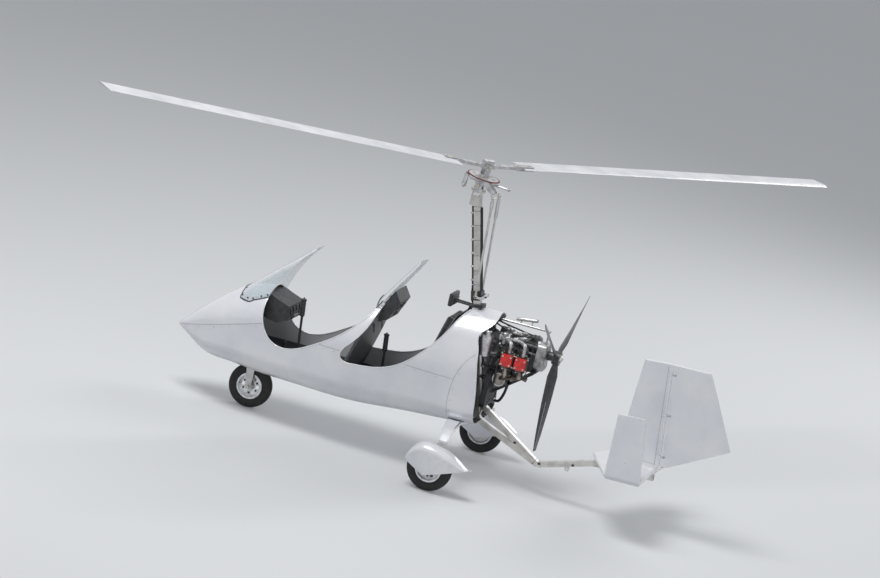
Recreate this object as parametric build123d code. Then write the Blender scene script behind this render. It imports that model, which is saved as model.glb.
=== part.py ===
"""Open two-seat gyrocopter, parked on its three wheels.

+X points forward, +Y to the left and +Z up. The origin is on the ground, under the middle of
the box round the whole machine. All sizes are in millimetres.
"""
import os
from math import cos, pi, radians, sin

from build123d import *

os.makedirs("parts", exist_ok=True)

# Wheels and landing gear
WHEEL_R = 200
TYRE_W = 100
RIM_R = 112
RIM_W = 84
NOSE_WHEEL_X = 1777
STEER_X = 1810
MAIN_WHEEL_X = -193
MAIN_WHEEL_Y = 784
AXLE_R = 12.5
RUN_GAP = 0.05

# Fuselage shell
SHELL = 7
BELLY_HOLE_R = 172
NOSE_SOLID_X = 2520
CREASE_TIP_Z = 561
CREASE_SLOPE = 0.36
SILL_JOINT_Z = 850
REAR_JOINT_Z = 900

# Steel frame
TUBE = 50
TUBE_WALL = 2
MAST_SIDE = 60
MAST_WALL = 3
MAST_TOP_Z = 2440
MAST_FOOT_Z = 520
MAST_X_AT_TOP = 136
MAST_LEAN = 0.235

# Rotor
TEETER = Vector(115, 0, 2712)
ROTOR_TILT = 6.2
BLADE_AZIMUTH = 56.1
BLADE_CONE = 3.4
ROTOR_R = 4200
BLADE_ROOT = 330
CHORD = 200
BLADE_THICK = 24
SHAFT_R = 15
RING_GEAR_R = 147
RING_GEAR_DROP = 98
PIVOT_X = 144
PITCH_Z = 2536
ROLL_Z = 2488
ROD_Y = 100

# Engine and propeller
CRANK_Z = 1172
PROP_X = -880
PROP_Z = 1250
PROP_R = 865

# Tail
HINGE_BOTTOM = Vector(-2006, 0, 602)
HINGE_TOP = Vector(-1916, 0, 1494)
FIN_THICK = 52


def side_profile(points, radius=0):
    """A closed outline in the X-Z plane, its corners rounded by radius."""
    face = Plane.XZ * make_face(Polyline(*points, close=True))
    if radius:
        face = fillet(face.vertices(), radius)
    return face


def plate(points, y_low, y_high, radius=0):
    """A plate with a side outline of (x, z) points, from y_low to y_high."""
    width = y_high - y_low
    solid = extrude(side_profile(points, radius), width / 2, both=True)
    return Pos(0, (y_low + y_high) / 2, 0) * solid


def curved_plate(curve, corners, y_low, y_high):
    """A plate bounded by a smooth curve through points, closed by straight lines round the corners."""
    line = Spline(*curve)
    rim = Polyline(curve[-1], *corners, curve[0])
    solid = extrude(Plane.XZ * make_face([line, rim]), (y_high - y_low) / 2, both=True)
    return Pos(0, (y_low + y_high) / 2, 0) * solid


def hollow_plate(points, y_low, y_high, skin):
    """A plate that is a closed skin round an empty core."""
    core = extrude(offset(side_profile(points), amount=-skin), (y_high - y_low) / 2 - skin, both=True)
    return plate(points, y_low, y_high) - Pos(0, (y_low + y_high) / 2, 0) * core


def block(x, y, z):
    """A box from its low and high limits along each axis."""
    size = [high - low for low, high in (x, y, z)]
    mid = [(high + low) / 2 for low, high in (x, y, z)]
    return Pos(*mid) * Box(*size)


def along(start, end, across=(0, 1, 0)):
    """A plane at start whose Z runs to end."""
    start = Vector(*start)
    direction = (Vector(*end) - start).normalized()
    return Plane(origin=start, x_dir=Vector(*across), z_dir=direction)


def round_bar(start, end, radius, hole=0):
    """A round bar or tube between two points."""
    length = (Vector(*end) - Vector(*start)).length
    helper = (0, 1, 0) if abs(end[1] - start[1]) < 0.9 * length else (1, 0, 0)
    bar = Pos(0, 0, length / 2) * Cylinder(radius, length)
    if hole:
        bar -= Pos(0, 0, length / 2) * Cylinder(hole, length)
    return along(start, end, helper).location * bar


def square_bar(start, end, width, depth):
    """A bar of rectangular section between two points of the X-Z plane; width is along Y."""
    length = (Vector(*end) - Vector(*start)).length
    bar = Pos(0, 0, length / 2) * Box(width, depth, length)
    return along(start, end).location * bar


def turned(points, centre, axis=(0, 1, 0)):
    """A ring turned from an outline of (radius, position along the axis)."""
    outline = Plane.XZ * make_face(Polyline(*points, close=True))
    ring = revolve(outline, Axis.Z, 360)
    helper = (1, 0, 0) if abs(axis[0]) < 0.9 else (0, 1, 0)
    return Plane(origin=centre, x_dir=helper, z_dir=axis).location * ring


def pipe(points, radius, bend):
    """A round pipe along straight runs joined by bends."""
    path = FilletPolyline(*points, radius=bend)
    start = Plane(origin=path @ 0, z_dir=path % 0)
    return sweep(start * Circle(radius), path=path)


def save(name, shape):
    """Write one node, all its solids in one compound."""
    shapes = [shape] if hasattr(shape, "solids") else shape
    solids = [solid for one in shapes for solid in one.solids()]
    result = solids[0] if len(solids) == 1 else Compound(children=solids)
    result.label = name
    export_step(result, f"parts/{name}.step")


# Fuselage body: cross-sections from nose to tail.
# x, half width, bottom z, lower corner z, widest z, top z, half width of the flat bottom
BODY_SECTIONS = [
    (2551, 12, 549, 558, 562, 573, 4),
    (2500, 62, 531, 560, 581, 632, 16),
    (2400, 122, 480, 555, 616, 739, 36),
    (2220, 203, 402, 540, 680, 912, 72),
    (1990, 277, 396, 560, 763, 1083, 110),
    (1720, 338, 392, 580, 850, 1165, 150),
    (1300, 372, 394, 590, 870, 1230, 180),
    (760, 380, 404, 600, 850, 1340, 190),
    (300, 380, 456, 640, 860, 1430, 190),
    (-60, 375, 490, 650, 880, 1490, 185),
    (-400, 360, 530, 660, 900, 1500, 175),
    (-560, 352, 550, 666, 908, 1500, 171),
]


def body_section(x, half, bottom, corner, wide, top, flat, inset):
    """One closed cross-section of the body, drawn in by inset."""
    half = half - inset
    bottom = bottom + inset
    top = top - inset
    flat = min(flat, half * 0.6)
    edges = [
        Line((-flat, bottom), (flat, bottom)),
        EllipticalCenterArc((flat, corner), half - flat, corner - bottom, 270, arc_size=90),
        Line((half, corner), (half, wide)),
        EllipticalCenterArc((0, wide), half, top - wide, 0, arc_size=180),
        Line((-half, wide), (-half, corner)),
        EllipticalCenterArc((-flat, corner), half - flat, corner - bottom, 180, arc_size=90),
    ]
    plane = Plane(origin=(x, 0, 0), x_dir=(0, 1, 0), z_dir=(1, 0, 0))
    return plane * make_face(edges)


def body_form(inset=0.0):
    """The whole body as one solid, drawn in by inset all round."""
    return loft([body_section(*row, inset) for row in BODY_SECTIONS])


outer = body_form()
inner = body_form(SHELL) - block((NOSE_SOLID_X, 2600), (-50, 50), (500, 620))
shell = outer - inner

# The two open cockpits are cut right across, and so is the end that leaves the engine open.
# Each is bounded by a curve through points of its edge, seen from the side.
FRONT_COCKPIT = [
    (1722, 1080), (1692, 891), (1601, 757), (1485, 714), (1354, 735), (1180, 829),
    (1038, 925), (900, 1045), (798, 1167), (747, 1240), (715, 1330),
]
REAR_COCKPIT = [
    (690, 1330), (714, 1233), (748, 1120), (801, 1018), (872, 925), (920, 858), (925, 800),
    (885, 766), (800, 764), (687, 778), (532, 814), (387, 888), (255, 1003), (138, 1143),
    (60, 1262), (-4, 1392), (-62, 1472),
]
BODY_END = [
    (-313, 1520), (-284, 1388), (-226, 1312), (-252, 1225), (-280, 1110), (-318, 940),
    (-342, 780), (-362, 380),
]
shell -= curved_plate(FRONT_COCKPIT, [(715, 1700), (1722, 1700)], -600, 600)
shell -= curved_plate(REAR_COCKPIT, [(-62, 1700), (690, 1700)], -600, 600)
shell -= curved_plate(BODY_END, [(-700, 380), (-700, 1600), (-313, 1600)], -600, 600)

# Round opening in the belly, in which the nose wheel turns.
shell -= Pos(STEER_X, 0, 420) * Cylinder(BELLY_HOLE_R, 160)


def mast_x(z):
    """The mast's centre line, which leans forward as it rises."""
    return MAST_X_AT_TOP - (MAST_TOP_Z - z) * MAST_LEAN


mast_hole = square_bar(
    (mast_x(1400), 0, 1400), (mast_x(1600), 0, 1600), MAST_SIDE + 16, MAST_SIDE + 16
)
shell -= mast_hole

# Side cowls beside the engine bay, along an arched seam.
COWL_SEAM = [(-250, 1160), (-185, 1080), (-131, 955), (-105, 799), (-108, 660), (-130, 560)]
cowl_region = curved_plate(COWL_SEAM, [(-600, 560), (-600, 1160)], -600, 600)
cowl_region -= block((-700, 500), (-190, 190), (400, 1300))
side_cowls = shell & cowl_region
rest = shell - cowl_region

crease = [
    (2700, CREASE_TIP_Z - 150 * CREASE_SLOPE), (1740, CREASE_TIP_Z + 812 * CREASE_SLOPE),
    (1600, CREASE_TIP_Z + 952 * CREASE_SLOPE), (1600, 1400), (2700, 1400),
]
nose_region = plate(crease, -600, 600)
hood_region = block((500, 1300), (-600, 600), (SILL_JOINT_Z, 1500))
rear_region = block((-600, 450), (-600, 600), (REAR_JOINT_Z, 1600))
nose_cowl = rest & nose_region
centre_hood = rest & hood_region
rear_fairing = rest & rear_region
tub = rest - nose_region - hood_region - rear_region

# Landing gear bow: one springy blade that crosses under the body.
# y, centre z, chord along x, thickness, centre x
BOW_SECTIONS = [
    (0, 512, 150, 26, -205),
    (200, 512, 150, 26, -205),
    (350, 530, 136, 24, -205),
    (560, 506, 104, 21, -222),
    (740, 443, 78, 18, -242),
]


def bow_half(side, clearance=0.0):
    """Half of the bow as a loft of rounded blades, grown by clearance."""
    faces = []
    for y, z, chord, thick, x in BOW_SECTIONS:
        plane = Plane(origin=(x, side * y, z), x_dir=(1, 0, 0), z_dir=(0, side, 0))
        blade = RectangleRounded(chord + 2 * clearance, thick + 2 * clearance, thick * 0.35)
        faces.append(plane * blade)
    return loft(faces, ruled=True)


bow = bow_half(1) + bow_half(-1)
bow_room = bow_half(1, 6) + bow_half(-1, 6)
tub -= bow_room
side_cowls -= bow_room

# Windscreens: thin curved sheets, narrowing upwards, that stand on the body.
# z, x of the foremost point, x of the side edges, half width
FRONT_SCREEN = [
    (1000, 2072, 1745, 238), (1084, 1990, 1715, 226), (1340, 1717, 1605, 196), (1592, 1450, 1415, 118),
]
REAR_SCREEN = [
    (1255, 812, 745, 208), (1400, 722, 668, 188), (1560, 618, 570, 162), (1742, 500, 462, 122),
]
SCREEN_THICK = 4


def screen(rows):
    """Sheet between crescents at several heights."""
    faces = []
    for z, front, edge, half in rows:
        t = SCREEN_THICK
        lines = [
            ThreePointArc((edge, -half), (front, 0), (edge, half)),
            Line((edge, half), (edge, half - t)),
            ThreePointArc((edge, half - t), (front - t, 0), (edge, -half + t)),
            Line((edge, -half + t), (edge, -half)),
        ]
        faces.append(Plane.XY.offset(z) * make_face(lines))
    return loft(faces) - outer


save("windscreen_front", max(screen(FRONT_SCREEN).solids(), key=lambda s: s.volume))
save("windscreen_rear", max(screen(REAR_SCREEN).solids(), key=lambda s: s.volume))

# Instrument panels: a hooded pod ahead of each seat.
FRONT_PANEL = [(1760, 1130), (1650, 1085), (1527, 1046), (1506, 922), (1622, 872), (1760, 900)]
REAR_PANEL = [(720, 1240), (690, 1330), (622, 1452), (560, 1362), (640, 1180), (726, 1140)]
panels = (hollow_plate(FRONT_PANEL, -190, 190, 5) & inner) + hollow_plate(REAR_PANEL, -150, 150, 5)
panels -= centre_hood
save("instrument_panels", panels)

# Seats: a moulded pan across the tub for each, with two cushions on it.
FRONT_PAN = [
    (1290, 402), (1290, 560), (930, 515), (738, 1190),
    (746, 1192), (937, 524), (1298, 569), (1298, 402),
]
REAR_PAN = [
    (560, 430), (560, 610), (262, 566), (28, 1400),
    (36, 1402), (268, 575), (568, 619), (568, 430),
]
FRONT_CUSHION = [(1280, 572), (945, 530), (932, 580), (1268, 622)]
FRONT_BACK = [(925, 590), (770, 1135), (816, 1148), (973, 596)]
REAR_CUSHION = [(552, 622), (280, 582), (266, 632), (540, 672)]
REAR_BACK = [(252, 650), (48, 1376), (100, 1390), (304, 664)]
save("cushion_front", plate(FRONT_CUSHION, -190, 190, 12))
save("back_front", plate(FRONT_BACK, -170, 170, 12))
save("cushion_rear", plate(REAR_CUSHION, -190, 190, 12))
save("back_rear", plate(REAR_BACK, -180, 180, 12))
headrest = block((118, 158), (-110, 110), (1440, 1560))
headrest += block((mast_x(1490) + 28, 118), (-15, 15), (1478, 1502))

# Control sticks with their grips, one for each seat.
# x at the floor, x of the grip, z of the floor, z of the grip's top
STICKS = [(1400, 1450, 420, 1098), (610, 640, 440, 1010)]
sticks = []
for foot_x, grip_x, floor_z, grip_z in STICKS:
    tube = round_bar((foot_x, 0, floor_z), (grip_x, 0, grip_z - 150), 11)
    grip = round_bar((grip_x, 0, grip_z - 150), (grip_x + 14, 0, grip_z), 19)
    sticks.append(tube + grip)

# Rudder pedals on a cross shaft in the nose.
pedals = round_bar((1600, -150, 452), (1600, 150, 452), 9)
for side in (-1, 1):
    pedals += block((1590, 1610), sorted((side * 60, side * 67)), (380, 462)) & inner
    pedals += round_bar((1600, side * 110, 452), (1586, side * 110, 600), 8)
    pedals += block((1576, 1592), sorted((side * 72, side * 148)), (580, 652))
save("pedals", pedals)

# Firewall between the rear seat and the engine, parallel to the mast.
wall_at = 62
FIREWALL = [
    (mast_x(400) + wall_at, 400), (mast_x(1700) + wall_at, 1700),
    (mast_x(1700) + wall_at + 6, 1700), (mast_x(400) + wall_at + 6, 400),
]

# Steel frame: keel tube, two struts behind the engine bay and the tail boom.
keel_start = (1500, 0, 428)
keel_mid = (760, 0, 438)
keel_end = (mast_x(560), 0, 560)
strut_top = (-330, 0, 655)
strut_low = (-330, 0, 520)
knee = (-935, 0, 283)
boom_mid = (-1425, 0, 446)
boom_end = (-1960, 0, 474)


def frame_tubes(inset):
    """All the frame's tubes, drawn in by inset for their hollow."""
    side = TUBE - 2 * inset
    tubes = square_bar((keel_start[0] - inset, 0, keel_start[2]), keel_mid, side, side)
    runs = (
        (keel_mid, keel_end), (keel_end, strut_top), (strut_top, knee), (strut_low, knee),
        (keel_end, strut_low), (knee, boom_mid), (boom_mid, boom_end),
    )
    for start, end in runs:
        tubes += square_bar(start, end, side, side)
    return tubes


frame_outer = frame_tubes(0)
tub -= frame_outer
bow -= frame_outer
for name, shape in (
    ("tub", tub), ("nose_cowl", nose_cowl), ("centre_hood", centre_hood),
    ("rear_fairing", rear_fairing), ("side_cowls", side_cowls),
):
    save(name, shape)

keel_frame = frame_outer - frame_tubes(TUBE_WALL)
# A lug below the boom takes a tie-down rope.
LUG_X = -1200
LUG_Z = 318
LUG_HOLE_R = 8
LUG = [(LUG_X - 26, 380), (LUG_X + 26, 345), (LUG_X + 16, LUG_Z - 16), (LUG_X - 16, LUG_Z - 16)]
keel_frame += plate(LUG, -5, 5) - frame_tubes(0.5)
keel_frame -= round_bar((LUG_X, -20, LUG_Z), (LUG_X, 20, LUG_Z), LUG_HOLE_R)
save("keel_frame", keel_frame)
seat_pan_front = (plate(FRONT_PAN, -600, 600) & inner) - frame_outer
seat_pan_rear = (plate(REAR_PAN, -600, 600) & inner) - frame_outer
save("seat_pan_front", seat_pan_front)
save("seat_pan_rear", seat_pan_rear)
save("control_sticks", [stick - frame_outer for stick in sticks])

mast_start = (mast_x(580), 0, 580)
mast_end = (mast_x(MAST_TOP_Z), 0, MAST_TOP_Z)
mast_outer = square_bar(mast_start, mast_end, MAST_SIDE, MAST_SIDE)
mast_bore = MAST_SIDE - 2 * MAST_WALL
mast = mast_outer - square_bar(mast_start, mast_end, mast_bore, mast_bore)
save("mast", mast - frame_outer)
headrest -= mast_outer
save("headrest", headrest)
save("firewall", (plate(FIREWALL, -600, 600) & inner) - headrest - frame_outer - bow_room)

# Mast head: a box on the mast's top with two ears that hold the roll bolt.
ear_in = 33
ear_out = 43
head_box = block((PIVOT_X - ear_out, PIVOT_X + ear_out), (-38, 38), (2352, 2442))
ears = []
for side in (-1, 1):
    x_in = PIVOT_X + side * ear_in
    x_out = PIVOT_X + side * ear_out
    ear = block(sorted((x_in, x_out)), (-30, 30), (2430, ROLL_Z))
    ear += Pos((x_in + x_out) / 2, 0, ROLL_Z) * Rot(0, 90, 0) * Cylinder(30, ear_out - ear_in)
    ears.append(ear)
roll_bolt = round_bar((PIVOT_X - ear_out - 12, 0, ROLL_Z), (PIVOT_X + ear_out + 12, 0, ROLL_Z), 8)
mast_head = head_box + ears[0] + ears[1] + roll_bolt
mast_head -= square_bar(mast_start, mast_end, MAST_SIDE, MAST_SIDE)
save("mast_head", mast_head)

# Roll block: carries the pitch bolt above the roll bolt.
roll_block = block((PIVOT_X - 32, PIVOT_X + 32), (-26, 26), (ROLL_Z - 24, ROLL_Z + 26))
roll_block += block((PIVOT_X - 17, PIVOT_X + 17), (-26, 26), (ROLL_Z, PITCH_Z))
roll_block += round_bar((PIVOT_X, -26, PITCH_Z), (PIVOT_X, 26, PITCH_Z), 17)
roll_block -= round_bar((PIVOT_X - 60, 0, ROLL_Z), (PIVOT_X + 60, 0, ROLL_Z), 8 + RUN_GAP)
roll_block += round_bar((PIVOT_X, -50, PITCH_Z), (PIVOT_X, 50, PITCH_Z), 8)
save("roll_block", roll_block)

# Head plane: its origin is the teeter bolt, its Z the rotor shaft, its X forward.
tilt = radians(ROTOR_TILT)
shaft_dir = Vector(-sin(tilt), 0, cos(tilt))
head_forward = Vector(cos(tilt), 0, sin(tilt))
head = Plane(origin=TEETER, x_dir=head_forward, z_dir=shaft_dir).location

# Pitch bridge: two cheeks on the pitch bolt, the bearing housing and the arms of the control bar.
cheeks = []
for side in (-1, 1):
    cheek = plate([(118, 2510), (172, 2510), (184, 2590), (88, 2590)], *sorted((side * 31, side * 41)))
    cheek -= round_bar((PIVOT_X, -60, PITCH_Z), (PIVOT_X, 60, PITCH_Z), 8 + RUN_GAP)
    cheeks.append(cheek)
housing = head * (Pos(0, 0, -128) * Cylinder(42, 30))
deck = head * (Pos(0, 0, -142) * Box(96, 84, 14))
bar_centre = (-8, 2487)
arm_outline = [(112, 2590), (112, 2556), (0, 2476), (-22, 2484), (-14, 2502), (60, 2584)]
arms = [plate(arm_outline, *sorted((side * 41, side * 49))) for side in (-1, 1)]
control_bar = round_bar((bar_centre[0], -116, bar_centre[1]), (bar_centre[0], 116, bar_centre[1]), 9)
bridge = housing + deck + cheeks[0] + cheeks[1] + arms[0] + arms[1] + control_bar
bridge += head * (Pos(0, 0, -144) * Cylinder(56, 10))
# The pre-rotator's pinion waits below the ring gear, on a drive case in front.
PINION_X = 145
bridge += head * (Pos(PINION_X, 0, -178) * Cylinder(22, 110))
bridge += head * (Pos(PINION_X, 0, -117) * Cylinder(13, 14))
bridge += head * (Pos(95, 0, -150) * Box(100, 40, 12))
# The trim arm reaches back between the control arms.
trim_eye = (-119, 0, 2561)
bridge += round_bar((90, 0, 2573), trim_eye, 10)
bridge += Pos(*trim_eye) * Rot(90, 0, 0) * Cylinder(15, 16)
bridge -= head * (Pos(0, 0, -140) * Cylinder(SHAFT_R + RUN_GAP, 70))
save("pitch_bridge", bridge)

# Rotor shaft with the ring gear of the pre-rotator and the tower that holds the teeter bolt.
GEAR_TEETH = 60
GEAR_THICK = 9
TOOTH_DEPTH = 6
gear_outline = []
for number in range(GEAR_TEETH):
    # share of the tooth pitch, radius
    for share, radius in (
        (0.0, RING_GEAR_R - TOOTH_DEPTH), (0.3, RING_GEAR_R),
        (0.55, RING_GEAR_R), (0.85, RING_GEAR_R - TOOTH_DEPTH),
    ):
        angle = 2 * pi * (number + share) / GEAR_TEETH
        gear_outline.append((radius * cos(angle), radius * sin(angle)))
ring_gear = extrude(make_face(Polyline(*gear_outline, close=True)), GEAR_THICK / 2, both=True)
ring_gear -= Cylinder(34, GEAR_THICK)
for number in range(6):
    angle = 2 * pi * number / 6
    ring_gear -= Pos(92 * cos(angle), 92 * sin(angle), 0) * Cylinder(17, GEAR_THICK)
save("ring_gear", head * (Pos(0, 0, -RING_GEAR_DROP) * ring_gear))
turn_to_blade = Rot(0, 0, BLADE_AZIMUTH)
tower = Pos(0, 0, -100) * Cylinder(33.9, 22)
tower += Pos(0, 0, -128) * Cylinder(SHAFT_R, 40)
tower += Pos(0, 0, -84) * Box(62, 70, 14)
for side in (-1, 1):
    cheek = plate([(-31, -90), (31, -90), (23, 0), (-23, 0)], *sorted((side * 25, side * 35)))
    cheek += Pos(0, side * 30, 0) * Rot(90, 0, 0) * Cylinder(23, 10)
    tower += cheek
tower += Rot(90, 0, 0) * Cylinder(9, 92)
save("rotor_tower", head * turn_to_blade * tower)

# Hub bar and blades rock together on the teeter bolt.
hub_bar = Box(150, 48, 34) + Pos(0, 0, 36) * Box(104, 44, 50)
hub_bar = chamfer(hub_bar.faces().sort_by(Axis.Z)[-1].edges(), 9)
hub_bar -= Rot(90, 0, 0) * Cylinder(9 + RUN_GAP, 60)
blade_parts = []
for side in (0, 180):
    turn = Rot(0, 0, side) * Rot(0, -BLADE_CONE, 0)
    strap = Pos(235, 0, 0) * Box(330, 48, 26)
    hub_bar += turn * strap
    for level in (-17, 17):
        hub_bar += turn * (Pos(420, 0, level) * Box(190, 58, 8))
    chord_low = -CHORD * 0.72
    chord_high = CHORD * 0.28
    # position along the chord, height
    section = [
        (chord_high, 0), (chord_high * 0.75, 9), (chord_high * 0.2, BLADE_THICK / 2),
        (-CHORD * 0.3, 8), (chord_low, 1), (chord_low, -1), (-CHORD * 0.3, -6),
        (chord_high * 0.2, -8), (chord_high * 0.75, -7),
    ]
    outline = Plane(origin=(BLADE_ROOT + 70, 0, 0), x_dir=(0, 1, 0), z_dir=(1, 0, 0)) * make_face(
        Polyline(*[(-y, z) for y, z in section], close=True)
    )
    blade = extrude(outline, ROTOR_R - BLADE_ROOT - 70)
    blade_parts.append(head * turn_to_blade * turn * blade)
save("hub_bar", head * turn_to_blade * hub_bar)
save("rotor_blades", blade_parts)

# Control rods behind the mast, and the mixer at the mast's foot that moves them.
MIXER_Z = 1588
MIXER_PIN_R = 9
ROD_LOW = (-72, 1590)
ROD_TOP = (-24, 2470)
carriage_low = (mast_x(MIXER_Z - 40), 0, MIXER_Z - 40)
carriage_high = (mast_x(MIXER_Z + 40), 0, MIXER_Z + 40)
carriage = square_bar(carriage_low, carriage_high, 96, 96)
carriage -= square_bar(carriage_low, carriage_high, MAST_SIDE + 12, MAST_SIDE + 12)
pin_x = mast_x(MIXER_Z) - 48
carriage += round_bar((pin_x + 4, 0, MIXER_Z), (pin_x - 34, 0, MIXER_Z), MIXER_PIN_R)
save("mixer_carriage", carriage)
mixer = block((pin_x - 24, pin_x - 8), (-112, 112), (MIXER_Z - 14, MIXER_Z + 14))
end_x = (pin_x - 10, ROD_LOW[0] - 14)
for side in (-1, 1):
    mixer += block(end_x, sorted((side * 88, side * 112)), (MIXER_Z - 9, MIXER_Z + 9))
mixer -= round_bar((pin_x + 20, 0, MIXER_Z), (pin_x - 60, 0, MIXER_Z), MIXER_PIN_R + RUN_GAP)
save("mixer_bar", mixer)
for side, name in ((1, "rod_left"), (-1, "rod_right")):
    rod_low = Vector(ROD_LOW[0], side * ROD_Y, ROD_LOW[1])
    rod_top = Vector(ROD_TOP[0], side * ROD_Y, ROD_TOP[1])
    rod = round_bar(tuple(rod_low), tuple(rod_top), 10)
    # A thicker sleeve near the top holds the trim spring of the right rod.
    sleeve_length = 170 if side < 0 else 60
    rod_line = (rod_low - rod_top).normalized()
    sleeve_top = rod_top + rod_line * 30
    rod += round_bar(tuple(sleeve_top), tuple(sleeve_top + rod_line * sleeve_length), 16)
    save(name, rod)

# Flexible drive of the pre-rotator, clipped to the mast's front.
drive_low = (mast_x(1670) + 44, 0, 1670)
drive_high = (mast_x(2340) + 44, 0, 2340)
save("prerotator_drive", round_bar(drive_low, drive_high, 11))


# Tyres, rims and axles
TYRE_SIDES = 64
SIDE_AT = TYRE_W / 2
# radius, distance from the wheel's middle
TREAD = [
    (152, -SIDE_AT), (188, -41), (WHEEL_R, -15), (WHEEL_R, 15), (188, 41), (152, SIDE_AT),
]
BEAD = [(148, -SIDE_AT), (RIM_R, -40), (RIM_R, 40), (148, SIDE_AT)]


def many_sided(rows, grow):
    """A solid through outlines with TYRE_SIDES sides, their corners' radius times grow."""
    faces = [Plane.XY.offset(at) * RegularPolygon(radius * grow, TYRE_SIDES) for radius, at in rows]
    return loft(faces, ruled=True)


def tyre(centre):
    """A ring of flat facets with a rounded tread, bored to take the rim's circle."""
    ring = many_sided(TREAD, 1) - many_sided(BEAD, 1 / cos(pi / TYRE_SIDES))
    return Plane(origin=centre, x_dir=(1, 0, 0), z_dir=(0, 1, 0)).location * ring


RIM_HOLES = 6
RIM_HOLE_R = 15
RIM_HOLE_AT = 69


def rim(centre):
    """A dished disc with round holes, a barrel with two flanges and a hub bored for the axle."""
    w = RIM_W / 2
    bore = AXLE_R + RUN_GAP
    outline = [
        (RIM_R, -w), (RIM_R, w), (RIM_R - 8, w), (RIM_R - 14, 6), (44, 14), (34, w), (bore, w),
        (bore, -w), (34, -w), (44, 4), (RIM_R - 14, -6), (RIM_R - 8, -w),
    ]
    disc = turned(outline, centre)
    for number in range(RIM_HOLES):
        angle = radians(number * 360 / RIM_HOLES)
        x = centre[0] + RIM_HOLE_AT * cos(angle)
        z = centre[2] + RIM_HOLE_AT * sin(angle)
        disc -= round_bar((x, centre[1] - 30, z), (x, centre[1] + 30, z), RIM_HOLE_R)
    return disc


wheel_centres = {
    "nose": (NOSE_WHEEL_X, 0, WHEEL_R),
    "left": (MAIN_WHEEL_X, MAIN_WHEEL_Y, WHEEL_R),
    "right": (MAIN_WHEEL_X, -MAIN_WHEEL_Y, WHEEL_R),
}
for name, centre in wheel_centres.items():
    save(f"tyre_{name}", tyre(centre))
    save(f"rim_{name}", rim(centre))

# Nose fork on its steering stem, and the bearing head fixed in the nose.
fork_top = 440
fork = block((NOSE_WHEEL_X - 40, STEER_X + 30), (-72, 72), (fork_top, fork_top + 16))
LEG = [
    (NOSE_WHEEL_X - 22, WHEEL_R - 24), (NOSE_WHEEL_X + 22, WHEEL_R - 24),
    (STEER_X + 26, fork_top + 2), (NOSE_WHEEL_X - 30, fork_top + 2),
]
for side in (-1, 1):
    fork += plate(LEG, *sorted((side * 62, side * 72)))
fork += round_bar((NOSE_WHEEL_X, -98, WHEEL_R), (NOSE_WHEEL_X, 98, WHEEL_R), AXLE_R)
fork += round_bar((STEER_X, 0, fork_top + 10), (STEER_X, 0, 660), 17)
save("nose_fork", fork)
steering_head = round_bar((STEER_X, 0, 480), (STEER_X, 0, 640), 28, 17 + RUN_GAP)
head_strut = square_bar((STEER_X - 27, 0, 560), (keel_start[0] - 30, 0, 455), 40, 40)
steering_head += head_strut - round_bar((STEER_X, 0, 470), (STEER_X, 0, 650), 27)
save("steering_head", steering_head - frame_outer)

# Main axles: a plate under each end of the bow and a stub axle through the wheel.
axles = []
DROP = [
    (MAIN_WHEEL_X - 90, 434), (MAIN_WHEEL_X - 14, 434),
    (MAIN_WHEEL_X + 26, 180), (MAIN_WHEEL_X - 26, 176),
]
for side in (-1, 1):
    drop = plate(DROP, *sorted((side * 716, side * 728)))
    stub = round_bar((MAIN_WHEEL_X, side * 716, WHEEL_R), (MAIN_WHEEL_X, side * 834, WHEEL_R), AXLE_R)
    axles.append(drop + stub - bow)
save("main_axles", axles)
save("gear_bow", bow)

# Wheel spats: drop-shaped hollow covers over the main wheels, open below.
SPAT_WALL = 6
# x, half width, z of the shoulder, z of the top
SPAT_SECTIONS = [
    (33, 40, 238, 252),
    (14, 66, 262, 300),
    (-34, 86, 312, 374),
    (-150, 98, 352, 421),
    (-260, 98, 338, 404),
    (-400, 76, 304, 356),
    (-556, 14, 272, 288),
]


def spat_form(inset):
    """The drop with a flat floor, drawn in by inset."""
    faces = []
    for x, half, shoulder, top in SPAT_SECTIONS:
        edges = [
            Line((-half + inset, 100), (half - inset, 100)),
            Line((half - inset, 100), (half - inset, shoulder)),
            EllipticalCenterArc((0, shoulder), half - inset, top - inset - shoulder, 0, arc_size=180),
            Line((-half + inset, shoulder), (-half + inset, 100)),
        ]
        faces.append(Plane(origin=(x, 0, 0), x_dir=(0, 1, 0), z_dir=(1, 0, 0)) * make_face(edges))
    return loft(faces)


BELOW_SPAT = [
    (60, 90), (60, 250), (31, 239), (-168, 147), (-548, 281), (-600, 281), (-600, 90),
]
below_spat = plate(BELOW_SPAT, -120, 120)
spat = spat_form(0) - below_spat
hollow = spat_form(SPAT_WALL) & block((-545, 27), (-120, 120), (0, 500))
tail_floor = plate([(-470, 90), (-470, 262), (-540, 290), (-600, 290), (-600, 90)], -120, 120)
spat -= hollow - tail_floor
spats = []
for side in (-1, 1):
    spats.append(Pos(0, side * MAIN_WHEEL_Y, 0) * spat - bow_room - axles[0] - axles[1])
save("spats", spats)

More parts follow.
